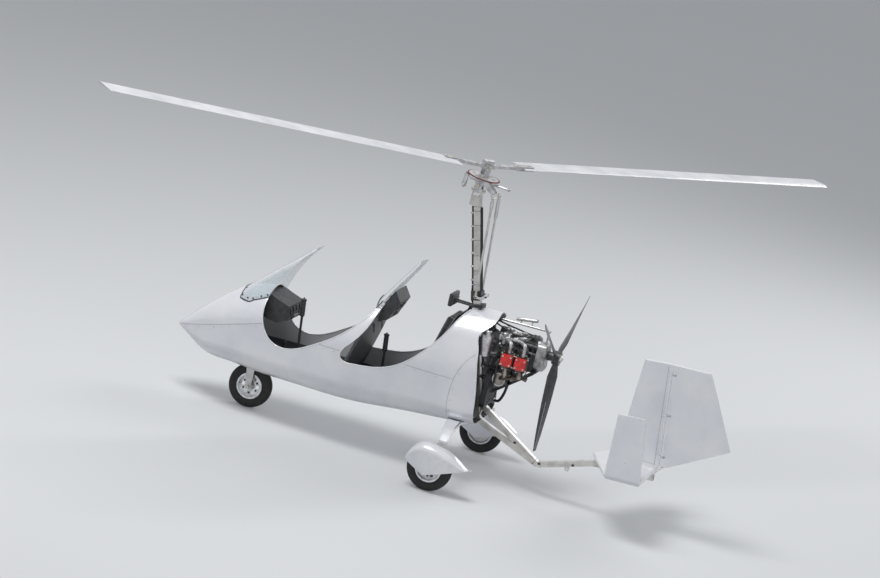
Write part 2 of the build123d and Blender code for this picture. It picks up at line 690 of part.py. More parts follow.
# Tail: a swept level stabiliser on the boom, a centre fin and an upright at each tip.
TAIL_HALF = 590
TAIL_Z = 520
TAIL_THICK = 38
TAIL_PITCH = 2.6
TAIL_NOSE_X = -1392
TAIL_END_X = -1958
TIP_FRONT_X = -1648
tailplane = make_face(Polyline(
    (TAIL_NOSE_X, 0), (TIP_FRONT_X, TAIL_HALF), (TAIL_END_X, TAIL_HALF),
    (TAIL_END_X, -TAIL_HALF), (TIP_FRONT_X, -TAIL_HALF), close=True,
))
tail_solid = extrude(tailplane, TAIL_THICK / 2, both=True)
middles = [(edge, edge.center()) for edge in tail_solid.edges()]
front_edges = [edge for edge, middle in middles if middle.X > -1600 and abs(middle.Z) > 1]
tail_solid = fillet(front_edges, TAIL_THICK / 2 - 2)
core_outline = offset(tailplane, amount=-TAIL_THICK / 2, kind=Kind.INTERSECTION)
tail_core = extrude(core_outline, TAIL_THICK / 2 - 3, both=True)
tail_place = Pos(TAIL_NOSE_X, 0, TAIL_Z) * Rot(0, TAIL_PITCH, 0) * Pos(-TAIL_NOSE_X, 0, 0)
tail_solid = tail_place * tail_solid
save("stabiliser", tail_solid - tail_place * tail_core - frame_outer)


def upright(points, y_low, y_high, nose):
    """A hollow fin whose front edge, from points[0] to points[1], is rounded to the radius nose."""
    solid = plate(points, y_low, y_high)
    middle = Vector((points[0][0] + points[1][0]) / 2, 0, (points[0][1] + points[1][1]) / 2)
    front = [e for e in solid.edges() if (Vector(e.center().X, 0, e.center().Z) - middle).length < 1]
    solid = fillet(front, nose)
    core = offset(side_profile(points), amount=-nose - 2, kind=Kind.INTERSECTION)
    core = extrude(core, (y_high - y_low) / 2 - 3, both=True)
    return solid - Pos(0, (y_low + y_high) / 2, 0) * core


SIDE_FIN = [(-1648, 548), (-1643, 1095), (-1883, 1116), (-1964, 562)]
SIDE_FIN_THICK = 24
side_fins = []
for side in (-1, 1):
    y_limits = sorted((side * TAIL_HALF, side * (TAIL_HALF + SIDE_FIN_THICK)))
    side_fins.append(upright(SIDE_FIN, *y_limits, 10))
save("side_fins", side_fins)

hinge_dir = (HINGE_TOP - HINGE_BOTTOM).normalized()
hinge = Plane(origin=HINGE_BOTTOM, x_dir=(0, 1, 0), z_dir=hinge_dir).location
half = FIN_THICK / 2
gap = half + 7
FIN = [
    (-1588, 545), (-1639, 1469), (HINGE_TOP.X + gap, 1494),
    (HINGE_BOTTOM.X + gap, 600), (HINGE_BOTTOM.X + gap - 4, 560),
]
fin = upright(FIN, -half, half, half - 2)

# Rudder: a wedge that thins from the hinge to its rear edge.
RUDDER = [
    (HINGE_TOP.X, 1494), (-2230, 1507), (-2553, 889), (HINGE_BOTTOM.X - 42, 597), (HINGE_BOTTOM.X, 602),
]


def wedge(front_half, rear_half):
    """All the room between two faces that draw together behind the hinge line."""
    corners = [(-front_half, 0), (front_half, 0), (rear_half, 600), (-rear_half, 600)]
    return hinge * Pos(0, 0, -100) * extrude(make_face(Polyline(*corners, close=True)), 1150)


rudder = plate(RUDDER, -half, half) & wedge(half, 4)
rudder_core = offset(side_profile(RUDDER), amount=-16, kind=Kind.INTERSECTION)
rudder -= extrude(rudder_core, 60, both=True) & wedge(half - 3, 1.5)
rudder += round_bar(tuple(HINGE_BOTTOM), tuple(HINGE_TOP), half)
# The horn below takes the two cables from the pedals.
rudder += hinge * (Pos(0, 4, -16) * Box(150, 24, 6))
rudder += hinge * (Pos(0, 4, -9) * Cylinder(11, 20))
HINGE_AT = [80, 450, 810]
for height in HINGE_AT:
    rudder -= hinge * (Pos(0, -8, height) * Box(FIN_THICK + 8, 52, 16))
    rudder += hinge * (Pos(0, 0, height) * Cylinder(5, 30))
    tongue = hinge * (Pos(0, 0, height) * Cylinder(12, 8))
    reach = plate([(0, -4), (gap + 12, -4), (gap + 12, 4), (0, 4)], -12, 12)
    spot = HINGE_BOTTOM + hinge_dir * height
    tongue += Pos(*tuple(spot)) * Rot(0, 5.76, 0) * reach
    tongue -= hinge * (Pos(0, 0, height) * Cylinder(5 + RUN_GAP, 10))
    fin += tongue
save("fin", fin - tail_solid)
save("rudder", rudder)

# Engine: a flat four with a reduction gearbox, hung behind the mast.
CASE_FRONT = -410
CASE_REAR = -712
CASE_HALF = 104
CYLINDER_STEP = 126
BARREL_R = 50
HEAD_START = 196
HEAD_END = 258
SILENCER_X = -456
SILENCER_Z = 955
# side, x of the first cylinder
BANKS = [(1, -513), (-1, -532)]
crankcase = block((CASE_REAR, CASE_FRONT), (-CASE_HALF, CASE_HALF), (CRANK_Z - 90, CRANK_Z + 86))
crankcase = fillet(crankcase.edges().filter_by(Axis.X), 22)
crankcase += round_bar((CASE_FRONT, 0, CRANK_Z), (CASE_FRONT + 40, 0, CRANK_Z), 74)
crankcase += block((CASE_REAR + 20, CASE_FRONT - 20), (-56, 56), (CRANK_Z + 80, CRANK_Z + 104))
for x in (-440, -490, -540, -590, -640):
    crankcase += block((x - 4, x + 4), (-86, 86), (CRANK_Z - 104, CRANK_Z - 88))
save("engine_block", crankcase)

cylinders = []
covers = []
intake = round_bar((-430, -112, 1330), (-430, 112, 1330), 10)
silencer_low = (SILENCER_X, -150, SILENCER_Z)
silencer_high = (SILENCER_X, 150, SILENCER_Z)
exhaust = round_bar(silencer_low, silencer_high, 58)
exhaust -= round_bar((SILENCER_X, -147, SILENCER_Z), (SILENCER_X, 147, SILENCER_Z), 55)
for side, x_first in BANKS:
    foot_y = side * (CASE_HALF + 0.5)
    head_y = sorted((side * HEAD_START, side * HEAD_END))
    port_y = sorted((side * 200, side * 250))
    cover_y = sorted((side * (HEAD_END + 0.5), side * 294))
    for number in (0, 1):
        x = x_first - CYLINDER_STEP * number
        one = round_bar((x, foot_y, CRANK_Z), (x, side * HEAD_START, CRANK_Z), BARREL_R)
        for y in range(118, 190, 16):
            fin_y = sorted((side * y, side * (y + 5)))
            one += block((x - 57, x + 57), fin_y, (CRANK_Z - 55, CRANK_Z + 55))
        one += block((x - 57, x + 57), head_y, (CRANK_Z - 60, CRANK_Z + 60))
        one += block((x - 42, x + 42), port_y, (CRANK_Z - 76, CRANK_Z - 56))
        for tube_x in (x - 20, x + 20):
            one += round_bar((tube_x, foot_y, 1108), (tube_x, side * 204, 1108), 8)
        cylinders.append(one)
        cover = block((x - 50, x + 50), cover_y, (CRANK_Z - 52, CRANK_Z + 52))
        cover = fillet(cover.edges().filter_by(Axis.Y), 18)
        cover += round_bar((x, side * 290, CRANK_Z), (x, side * 300, CRANK_Z), 20)
        covers.append(cover)
        # Intake pipe from the carburettor to the head, exhaust pipe from the head to the silencer.
        rise = 1318 + 12 * number
        intake_route = [
            (x, side * 232, CRANK_Z + 60.5), (x, side * 232, rise),
            (x + 66, side * 150, rise), (-452, side * 112, 1318),
        ]
        intake += pipe(intake_route, 17, 30)
        exhaust_route = [
            (x, side * 226, CRANK_Z - 76.5), (x, side * 226, 1014 + 22 * number),
            (-450, side * 116, SILENCER_Z),
        ]
        exhaust += pipe(exhaust_route, 17, 34)
    # Carburettor with its float bowl and air filter.
    intake += round_bar((-456, side * 112, 1318), (-380, side * 112, 1318), 27)
    intake += round_bar((-416, side * 112, 1268), (-416, side * 112, 1318), 24)
    intake += round_bar((-380, side * 112, 1318), (-318, side * 112, 1318), 40)
tail_pipe = [(SILENCER_X, -140, SILENCER_Z), (SILENCER_X, -208, SILENCER_Z), (-620, -208, 925)]
exhaust += pipe(tail_pipe, 21, 34)
save("cylinders", cylinders)
save("valve_covers", covers)
save("intake", intake)
save("exhaust", exhaust)

gearbox = block((CASE_REAR - 78, CASE_REAR - 0.5), (-92, 92), (1108, 1342))
gearbox = fillet(gearbox.edges().filter_by(Axis.X), 30)
gearbox += round_bar((CASE_REAR - 78, 0, PROP_Z), (-800, 0, PROP_Z), 62)
gearbox += round_bar((CASE_REAR - 1, 0, 1316), (-592, 0, 1316), 36)
save("gearbox", gearbox)

# Cooler behind the body, oil tank beside the mast and a sloping tray under the engine.
radiator = block((-382, -344), (-175, 175), (700, 990))
for z_low in (678, 988):
    radiator += block((-386, -340), (-180, 180), (z_low, z_low + 26))
radiator += round_bar((-363, 120, 1010), (-363, 120, 1050), 15)
for side in (-1, 1):
    radiator += round_bar((mast_x(900) - 20, side * 20, 900), (-350, side * 70, 900), 8)
save("radiator", radiator - mast_outer)
oil_tank = round_bar((-290, 218, 1150), (-290, 218, 1330), 55)
oil_tank += round_bar((-290, 218, 1330), (-290, 218, 1352), 22)
oil_tank += round_bar((mast_x(1220), 24, 1220), (-278, 170, 1220), 8)
save("oil_tank", oil_tank - mast_outer)
TRAY_HALF = 176
TRAY = [(-408, 832), (-431, 832), (-752, 1090), (-748, 1094), (-430, 837), (-408, 837)]
HANGER_X = -420
tray = plate(TRAY, -TRAY_HALF, TRAY_HALF)
tray += block((-748, -722), (-80, 80), (1080, 1107.9))
for side in (-1, 1):
    hanger = [
        (HANGER_X, side * (CASE_HALF + 0.2), 1120), (HANGER_X, side * 166, 1120),
        (HANGER_X, side * 166, 834),
    ]
    tray += pipe(hanger, 8, 20)
save("engine_tray", tray)

mount = round_bar((mast_x(1440) - 20, 0, 1440), (-778, 0, 1458), 10)
mount += round_bar((-762, 0, 1342.5), (-762, 0, 1456), 8)
mount += round_bar((-457, 0, 1486), (-640, 0, 1516), 15)
for x in (-500, -600):
    mount += round_bar((x, 0, 1453), (x, 0, 1494), 6)
mount_tubes = [mount - mast_outer]
for side in (-1, 1):
    for z in (CRANK_Z - 60, CRANK_Z + 60):
        tube = round_bar((mast_x(z) - 31, side * 20, z), (CASE_FRONT, side * 90, z), 12)
        mount_tubes.append(tube - mast_outer - crankcase)
save("engine_mount", mount_tubes)

# Propeller: a hub with a spinner and three twisted blades.
hub = round_bar((-800.5, 0, PROP_Z), (-850, 0, PROP_Z), 40)
hub += round_bar((-850, 0, PROP_Z), (-912, 0, PROP_Z), 62)
save("propeller_hub", hub)
# radius, chord, thickness, pitch angle
BLADE_ROWS = [
    (58, 56, 34, 52), (170, 104, 24, 46), (420, 118, 15, 30), (700, 92, 10, 20), (PROP_R - 5, 50, 6, 16),
]
prop_blades = []
for turn in (150, 270, 30):
    faces = []
    for radius, chord, thick, angle in BLADE_ROWS:
        outline = Polyline(
            (-chord * 0.5, 0), (-chord * 0.25, thick * 0.42), (0, thick * 0.5), (chord * 0.5, 0),
            (0, -thick * 0.5), (-chord * 0.25, -thick * 0.42), close=True,
        )
        plane = Plane(origin=(0, 0, radius), x_dir=(0, 1, 0), z_dir=(0, 0, 1))
        faces.append(plane * Rot(0, 0, angle) * make_face(outline))
    one = loft(faces, ruled=True)
    prop_blades.append(Pos(PROP_X, 0, PROP_Z) * Rot(turn - 210, 0, 0) * one - hub)
save("propeller_blades", prop_blades)
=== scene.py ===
"""Looks of an open two-seat gyrocopter, parked on its wheels.

The finishes, soft seats, lines, fasteners and small fittings are made here, each on the CAD piece
that carries it. Sizes are in metres: +X forward, +Y to the left, +Z up.
"""
from math import cos, exp, pi, radians, sin

import bmesh
import bpy
from mathutils import Matrix, Vector
from mathutils.bvhtree import BVHTree


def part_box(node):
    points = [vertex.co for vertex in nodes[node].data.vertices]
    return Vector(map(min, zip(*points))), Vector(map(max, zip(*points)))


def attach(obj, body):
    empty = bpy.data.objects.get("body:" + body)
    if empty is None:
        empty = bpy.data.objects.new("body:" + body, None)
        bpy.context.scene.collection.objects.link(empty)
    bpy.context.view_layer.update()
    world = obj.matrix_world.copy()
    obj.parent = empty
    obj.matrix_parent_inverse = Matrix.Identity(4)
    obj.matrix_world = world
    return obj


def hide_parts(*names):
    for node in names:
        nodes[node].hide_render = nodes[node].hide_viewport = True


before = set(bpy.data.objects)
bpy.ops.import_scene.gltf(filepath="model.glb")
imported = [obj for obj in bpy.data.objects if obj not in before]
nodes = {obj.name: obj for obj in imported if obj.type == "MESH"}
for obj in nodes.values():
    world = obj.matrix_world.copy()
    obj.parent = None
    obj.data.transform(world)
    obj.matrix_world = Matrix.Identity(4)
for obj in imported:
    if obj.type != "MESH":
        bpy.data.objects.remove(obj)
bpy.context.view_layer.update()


# Steel frame: keel, struts, boom, mast, its head, the nose fork and the main axles.
# Square and round stainless tube, TIG welded, brushed along its length and left bare.
def set_up(thing, **settings):
    """Give a thing its settings, and hand it back."""
    for key, value in settings.items():
        setattr(thing, key, value)
    return thing


def fill(tree, taker, values):
    """Give a node's inputs plain values, or the sockets that feed them."""
    for key, value in values.items():
        if isinstance(value, bpy.types.NodeSocket):
            tree.links.new(value, taker.inputs[key])
        else:
            taker.inputs[key].default_value = value


def new_node(tree, kind, values, **settings):
    """A new node with its settings and its inputs; it gives back its outputs."""
    made = set_up(tree.nodes.new(kind), **settings)
    fill(tree, made, values)
    return made.outputs


def surface(name, colour, rough, metal=0.0, coat=0.0):
    """A new material, with its node tree and its main shader."""
    made = bpy.data.materials.new(name)
    made.use_nodes = True
    tree = made.node_tree
    shader = tree.nodes["Principled BSDF"]
    fill(tree, shader, {
        "Base Color": (*colour, 1), "Roughness": rough, "Metallic": metal, "Coat Weight": coat,
    })
    return made, tree, shader


def own_place(tree):
    """The place of each point on the piece's own coordinates."""
    return new_node(tree, "ShaderNodeTexCoord", {})["Object"]


def noise(tree, scale, detail=3.0, stretch=(1, 1, 1)):
    """Grey noise on the piece's own coordinates, drawn out along an axis by a small stretch."""
    turned = new_node(tree, "ShaderNodeMapping", {"Vector": own_place(tree), "Scale": stretch})["Vector"]
    return new_node(tree, "ShaderNodeTexNoise", {"Vector": turned, "Scale": scale, "Detail": detail})["Fac"]


def tint(tree, grey, low, high, start=0.35, end=0.65):
    """Colours from low to high, between two levels of a grey value."""
    ramp = tree.nodes.new("ShaderNodeValToRGB")
    for stop, at, colour in zip(ramp.color_ramp.elements, (start, end), (low, high)):
        set_up(stop, position=at, color=(*colour, 1))
    fill(tree, ramp, {"Fac": grey})
    return ramp.outputs["Color"]


def mixed(tree, share, first, second):
    """Two colours mixed by a grey value; each is a socket or a plain colour."""
    first, second = ((*c, 1) if isinstance(c, tuple) else c for c in (first, second))
    # The node's sockets 6 and 7 and its output 2 are the ones for colours.
    return new_node(tree, "ShaderNodeMix", {"Factor": share, 6: first, 7: second}, data_type="RGBA")[2]


def level(tree, grey, low, high, start=0.3, end=0.7):
    """A number from low to high, between two levels of a grey value."""
    values = {"Value": grey, "From Min": start, "From Max": end, "To Min": low, "To Max": high}
    return new_node(tree, "ShaderNodeMapRange", values)["Result"]


def bumped(tree, shader, grey, depth, strength=1.0):
    """Relief from a grey value, depth metres high."""
    relief = new_node(tree, "ShaderNodeBump", {"Height": grey, "Distance": depth, "Strength": strength})
    fill(tree, shader, {"Normal": relief["Normal"]})


def finish(name, colour, rough, metal=0.0, stain=None, gloss=None, relief=None, coat=0.0):
    """A material with noise in its colour, its gloss and its relief.

    Each of the three is its noise (scale, detail, stretch), followed by what it ranges between.
    """
    made, tree, shader = surface(name, colour, rough, metal, coat)
    if stain:
        fill(tree, shader, {"Base Color": tint(tree, noise(tree, *stain[0]), *stain[1:])})
    if gloss:
        fill(tree, shader, {"Roughness": level(tree, noise(tree, *gloss[0]), *gloss[1:])})
    if relief:
        bumped(tree, shader, noise(tree, *relief[0]), *relief[1:])
    return made


def brushed(name, colour, stretch):
    """Bare metal with fine scratches along one axis and faint stains."""
    scratches = (420, 2, stretch)
    darker = tuple(c * 0.72 for c in colour)
    stains = ((9, 5), darker, colour, 0.32, 0.6)
    return finish(name, colour, 0.3, 1.0, stains, (scratches, 0.24, 0.42), (scratches, 0.0002, 0.35))


STEEL = (0.66, 0.64, 0.61)
boom_steel = brushed("boom_steel", STEEL, (0.03, 1, 1))
mast_steel = brushed("mast_steel", STEEL, (1, 1, 0.03))
satin_steel = brushed("satin_steel", (0.62, 0.61, 0.60), (1, 0.1, 1))


def geometry_tree(name, inputs=()):
    """A Geometry Nodes tree, with what it is given."""
    tree = bpy.data.node_groups.new(name, "GeometryNodeTree")
    for label, kind in (("Geometry", "Geometry"), *inputs):
        tree.interface.new_socket(label, in_out="INPUT", socket_type=f"NodeSocket{kind}")
    tree.interface.new_socket("Geometry", in_out="OUTPUT", socket_type="NodeSocketGeometry")
    return tree, new_node(tree, "NodeGroupInput", {})


# Joins a CAD mesh's loose triangles and shades it smooth but for its sharp edges.
joined_edges, given = geometry_tree("joined_edges")
flow = new_node(joined_edges, "GeometryNodeMergeByDistance", {"Geometry": given[0], "Distance": 0.00002})
flow = new_node(joined_edges, "GeometryNodeRemoveAttribute", {"Geometry": flow[0], "Name": "custom_normal"})
flow = new_node(joined_edges, "GeometryNodeSetShadeSmooth", {"Geometry": flow[0]})
angle = new_node(joined_edges, "GeometryNodeInputMeshEdgeAngle", {})["Unsigned Angle"]
blunt = new_node(joined_edges, "FunctionNodeCompare", {0: angle, 1: radians(32)}, operation="LESS_THAN")
edges = {"Geometry": flow[0], "Shade Smooth": blunt[0]}
flow = new_node(joined_edges, "GeometryNodeSetShadeSmooth", edges, domain="EDGE")
new_node(joined_edges, "NodeGroupOutput", {"Geometry": flow[0]})


def dress(made, *names, edge=0.0):
    """Give CAD nodes a material and, with an edge width, joined and slightly rounded edges."""
    for name in names:
        piece = nodes[name]
        for slot in piece.material_slots:
            slot.material = made
        if edge:
            set_up(piece.modifiers.new("joined", "NODES"), node_group=joined_edges)
            set_up(
                piece.modifiers.new("edges", "BEVEL"), width=edge, segments=2, limit_method="ANGLE",
                angle_limit=radians(40), harden_normals=True,
            )


dress(boom_steel, "keel_frame", edge=0.003)
dress(mast_steel, "mast", "mast_head", edge=0.003)
dress(satin_steel, "nose_fork", "main_axles", "rod_left", "rod_right", edge=0.0012)


# Weld beads where the frame's tubes meet, and clamps round the boom.
# Stacked-coin beads of filler rod, heat tinted, and bent steel bands.
X, Y, Z = Vector((1, 0, 0)), Vector((0, 1, 0)), Vector((0, 0, 1))
weld = finish(
    "weld_bead", (0.42, 0.38, 0.36), 0.38, 1.0,
    stain=((40,), (0.30, 0.24, 0.30), (0.62, 0.56, 0.46)), relief=((160, 1), 0.001, 0.6),
)


def place(piece, made, body="airframe"):
    """Finish a new piece: its material and the body that it rides on."""
    piece.data.materials.clear()
    piece.data.materials.append(made)
    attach(piece, body)
    return piece


def linked(name, data):
    """A new object in the scene, made of a mesh, curve or text."""
    piece = bpy.data.objects.new(name, data)
    bpy.context.scene.collection.objects.link(piece)
    return piece


def rounded(piece, sharp):
    """Shade a piece smooth but for edges sharper than an angle in degrees."""
    for face in piece.data.polygons:
        face.use_smooth = True
    piece.data.set_sharp_from_angle(angle=radians(sharp))
    return piece


def final_mesh(piece):
    """A new mesh from an object with its modifiers."""
    found = piece.evaluated_get(bpy.context.evaluated_depsgraph_get())
    return bpy.data.meshes.new_from_object(found)


def meshed(source, name, sharp=180):
    """An object as a new plain piece; the source is removed."""
    bpy.context.view_layer.update()
    mesh = final_mesh(source)
    bpy.data.objects.remove(source)
    mesh.name = name
    return rounded(linked(name, mesh), sharp)


def spline(name, routes, smooth=True):
    """A curve with a line for each route of points; smooth ones are drawn as one flowing curve."""
    curve = bpy.data.curves.new(name, "CURVE")
    curve.dimensions = "3D"
    for route in routes:
        line = curve.splines.new("NURBS" if smooth else "POLY")
        line.points.add(len(route) - 1)
        for point, spot in zip(line.points, route):
            point.co = (*spot, 1)
        if smooth:
            set_up(line, order_u=3, use_endpoint_u=True)
    return curve


def runs(name, routes, radius, smooth=True, sides=4):
    """Round lines, one for each route of points."""
    curve = spline(name, routes, smooth)
    set_up(curve, bevel_depth=radius, bevel_resolution=sides, use_fill_caps=True, resolution_u=6)
    return meshed(linked(name, curve), name, 50)


def square_loop(centre, along, half):
    """A closed loop of points round a square tube."""
    top = Vector(along).normalized().cross(Y).normalized()
    corners = ((1, 1), (1, -1), (-1, -1), (-1, 1), (1, 1))
    return [Vector(centre) + Y * half * a + top * half * b for a, b in corners]


HALF_TUBE = 0.0252
JOINTS = [
    # place, direction of the tube
    ((-0.905, 0, 0.304), (0.85, 0, 0.52)), ((-0.905, 0, 0.298), (0.93, 0, 0.37)),
    ((-0.968, 0, 0.294), (-0.95, 0, 0.31)), ((-0.358, 0, 0.639), (0.85, 0, 0.52)),
    ((-0.300, 0, 0.642), (-0.96, 0, 0.28)),
]
loops = [square_loop(spot, way, HALF_TUBE) for spot, way in JOINTS]
place(runs("frame_welds", loops, 0.0028, smooth=False, sides=2), weld)
CLAMPS = [(-1.10, 0.341), (-1.31, 0.409), (-1.60, 0.456), (-1.86, 0.469)]
bands = [square_loop((x, 0, z), (-0.95, 0, 0.3 if x > -1.4 else 0.05), 0.0262) for x, z in CLAMPS]
place(runs("boom_clamps", bands, 0.0024, smooth=False, sides=2), satin_steel)


# Moulded shell, gear bow, wheel covers and tail, in glass-fibre composite.
# Sprayed pearl white over filler and primer, polished; the inside is plain grey gelcoat.
def worked_out(tree, kind, first, second):
    """A number made from two others, each a socket or a plain number."""
    return new_node(tree, "ShaderNodeMath", {0: first, 1: second}, operation=kind)[0]


def pearl(name, lined=False):
    """Gloss pearl paint with a soft undertone, road dust low down and, if lined, a plain inside."""
    made, tree, shader = surface(name, (0.80, 0.81, 0.84), 0.22, 0.12, 0.7)
    at = new_node(tree, "ShaderNodeSeparateXYZ", {"Vector": own_place(tree)})
    cloud = tint(tree, noise(tree, 3.0, 4), (0.74, 0.755, 0.80), (0.83, 0.835, 0.86))
    dust = level(tree, noise(tree, 14, 6), 0.0, 0.30, 0.45, 0.85)
    low = level(tree, at["Z"], 1.0, 0.15, 0.15, 0.75)
    colour = mixed(tree, worked_out(tree, "MULTIPLY", dust, low), cloud, (0.50, 0.46, 0.40))
    if lined:
        # The inside faces look towards the body's middle line, which drops at the nose.
        middle = level(tree, at["X"], 0.82, 0.565, 1.80, 2.53)
        above = worked_out(tree, "SUBTRACT", at["Z"], middle)
        outward = new_node(tree, "ShaderNodeCombineXYZ", {"Y": at["Y"], "Z": above})[0]
        facing = new_node(tree, "ShaderNodeNewGeometry", {})["True Normal"]
        inward = new_node(tree, "ShaderNodeVectorMath", {0: outward, 1: facing}, operation="DOT_PRODUCT")
        inside = worked_out(tree, "LESS_THAN", inward["Value"], -0.02)
        gel = tint(tree, noise(tree, 60, 4), (0.075, 0.077, 0.082), (0.105, 0.108, 0.112))
        sill = level(tree, at["Z"], 0.0, 1.0, 0.598, 0.602)
        colour = mixed(tree, inside, colour, mixed(tree, sill, gel, (0.60, 0.60, 0.62)))
        fill(tree, shader, {"Roughness": level(tree, inside, 0.24, 0.62, 0, 1)})
    fill(tree, shader, {"Base Color": colour, "Coat Roughness": 0.06})
    bumped(tree, shader, noise(tree, 260, 2), 0.0002, 0.06)
    return made


pearl_paint = pearl("pearl_paint")
dress(pearl("pearl_shell", lined=True), "tub", "nose_cowl", "centre_hood", "rear_fairing", "side_cowls")
dress(pearl_paint, "gear_bow", "stabiliser", "side_fins", "fin", "rudder", edge=0.003)
dress(pearl_paint, "spats")


# Tyres: three alike, with a ribbed tread and moulded rings on the walls.
# Black rubber on two-piece rims, blown up hard, dusty where they touch the ground.
rubber = finish(
    "tyre_rubber", (0.025, 0.025, 0.027), 0.75,
    stain=((22, 6), (0.014, 0.014, 0.015), (0.048, 0.044, 0.040), 0.42, 0.80),
    gloss=((22, 6), 0.62, 0.9), relief=((700, 2), 0.0004, 0.4),
)


def rays(count, first, second, start=0.0):
    """Directions evenly round a circle, from the first axis towards the second; start in radians."""
    turns = [start + 2 * pi * number / count for number in range(count)]
    return [first * cos(turn) + second * sin(turn) for turn in turns]


def built(shape, name, sharp=None):
    """A new piece from built faces, turned outward, and rounded if a sharp angle is given."""
    bmesh.ops.recalc_face_normals(shape, faces=shape.faces)
    mesh = bpy.data.meshes.new(name)
    shape.to_mesh(mesh)
    shape.free()
    piece = linked(name, mesh)
    return rounded(piece, sharp) if sharp else piece


def skinned(shape, rows, around=True):
    """Faces between each row of points and the next; the rows close on themselves if around."""
    for first, second in zip(rows, rows[1:]):
        for step in range(len(first) - (not around)):
            after = (step + 1) % len(first)
            shape.faces.new((first[step], first[after], second[after], second[step]))


def lathe(name, outline, centre, axis, steps=64):
    """A turned piece from (radius, place along the axis) points."""
    axis = Vector(axis).normalized()
    side = axis.orthogonal().normalized()
    shape = bmesh.new()
    rings = []
    for radius, along in outline:
        ways = rays(steps, side, axis.cross(side)) if radius else [Vector()]
        rings.append([shape.verts.new(Vector(centre) + axis * along + way * radius) for way in ways])
    for first, second in zip(rings, rings[1:]):
        for step in range(steps):
            after = (step + 1) % steps
            corners = [first[step % len(first)], first[after % len(first)]]
            corners += [second[after % len(second)], second[step % len(second)]]
            unique = list(dict.fromkeys(corners))
            if len(unique) > 2:
                shape.faces.new(unique)
    return built(shape, name, 35)


def wheel_hub(side):
    """The middle of a wheel."""
    low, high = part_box(f"rim_{side}")
    return (Vector(low) + Vector(high)) / 2


# Half the tyre's section: bead, ringed wall, shoulder and grooved tread.
BEAD = (0.1125, 0.038)
HALF_TYRE = [
    BEAD, (0.116, 0.0405), (0.124, 0.0415), (0.132, 0.0455), (0.1335, 0.0470), (0.137, 0.0470),
    (0.1385, 0.0474), (0.152, 0.0495), (0.160, 0.0497), (0.1615, 0.0488), (0.165, 0.0487),
    (0.1665, 0.0482), (0.178, 0.0445), (0.186, 0.0400), (0.1905, 0.0360),
]
for groove in (0.029, 0.0175, 0.006):
    crown = 0.1995 - 4.2 * groove * groove
    bottom = crown - 0.0045
    HALF_TYRE += [(crown, groove + 0.0042), (bottom, groove + 0.0030)]
    HALF_TYRE += [(bottom, groove - 0.0004), (crown + 0.0002, groove - 0.0016)]
tyre_section = HALF_TYRE + [(r, -y) for r, y in reversed(HALF_TYRE)] + [BEAD]
WHEELS = {"nose": "nose_wheel", "left": "main_wheel_left", "right": "main_wheel_right"}
for side, body in WHEELS.items():
    tyre = lathe(f"tread_{side}", tyre_section, wheel_hub(side), Y, 96)
    place(tyre, rubber, body)
    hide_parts(f"tyre_{side}")


# Rims: two halves of spun alloy, bolted together through the disc, with a valve.
# Bead-blasted and clear coated, with brake dust in patches.
alloy = finish(
    "rim_alloy", (0.70, 0.71, 0.73), 0.34, 1.0,
    stain=((30, 5), (0.48, 0.47, 0.46), (0.74, 0.75, 0.77), 0.25, 0.6), relief=((900, 2), 0.0003, 0.3),
)
dark_steel = finish("dark_steel", (0.055, 0.055, 0.06), 0.36, 0.9, gloss=((120, 3), 0.28, 0.5))
dress(alloy, "rim_nose", "rim_left", "rim_right", edge=0.0012)

# Hexagon heads on round washers, one at each point, turned to its outward direction.
BOLT_SIZES = [
    ("Head", "Float"), ("Height", "Float"), ("Washer", "Float"), ("Sides", "Int"), ("Metal", "Material"),
]
bolt_heads, given = geometry_tree("bolt_heads", BOLT_SIZES)
narrow = new_node(bolt_heads, "ShaderNodeMath", {0: given["Head"], 1: 0.86}, operation="MULTIPLY")
head = new_node(bolt_heads, "GeometryNodeMeshCone", {
    "Vertices": given["Sides"], "Radius Bottom": given["Head"], "Radius Top": narrow[0],
    "Depth": given["Height"],
})
washer = new_node(bolt_heads, "GeometryNodeMeshCylinder", {
    "Vertices": 14, "Depth": 0.003, "Radius": given["Washer"],
})
both = bolt_heads.nodes.new("GeometryNodeJoinGeometry")
for part in (washer, head):
    fill(bolt_heads, both, {"Geometry": part["Mesh"]})
outward = new_node(
    bolt_heads, "GeometryNodeInputNamedAttribute", {"Name": "outward"}, data_type="FLOAT_VECTOR",
)
turn = new_node(bolt_heads, "FunctionNodeAlignRotationToVector", {"Vector": outward["Attribute"]}, axis="Z")
copies = new_node(bolt_heads, "GeometryNodeInstanceOnPoints", {
    "Points": given["Geometry"], "Instance": both.outputs[0], "Rotation": turn["Rotation"],
})
real = new_node(bolt_heads, "GeometryNodeRealizeInstances", {"Geometry": copies["Instances"]})
coat = new_node(bolt_heads, "GeometryNodeSetMaterial", {"Geometry": real[0], "Material": given["Metal"]})
new_node(bolt_heads, "NodeGroupOutput", {"Geometry": coat[0]})


def bolts(name, spots, made, slot, head, height, washer, sides=6, body="airframe"):
    """Bolt heads or screws at (place, outward direction) spots."""
    mesh = bpy.data.meshes.new(name)
    mesh.from_pydata([tuple(p) for p, _ in spots], [], [])
    mesh.attributes.new("outward", "FLOAT_VECTOR", "POINT")
    for item, (_, out) in zip(mesh.attributes["outward"].data, spots):
        item.vector = Vector(out).normalized()
    source = linked(name, mesh)
    repeat = set_up(source.modifiers.new("repeat", "NODES"), node_group=bolt_heads)
    values = {"Head": head, "Height": height, "Washer": washer, "Sides": sides, "Metal": made}
    for socket in bolt_heads.interface.items_tree:
        if socket.name in values:
            repeat[socket.identifier] = values[socket.name]
    return place(meshed(source, name, 25), made, body)


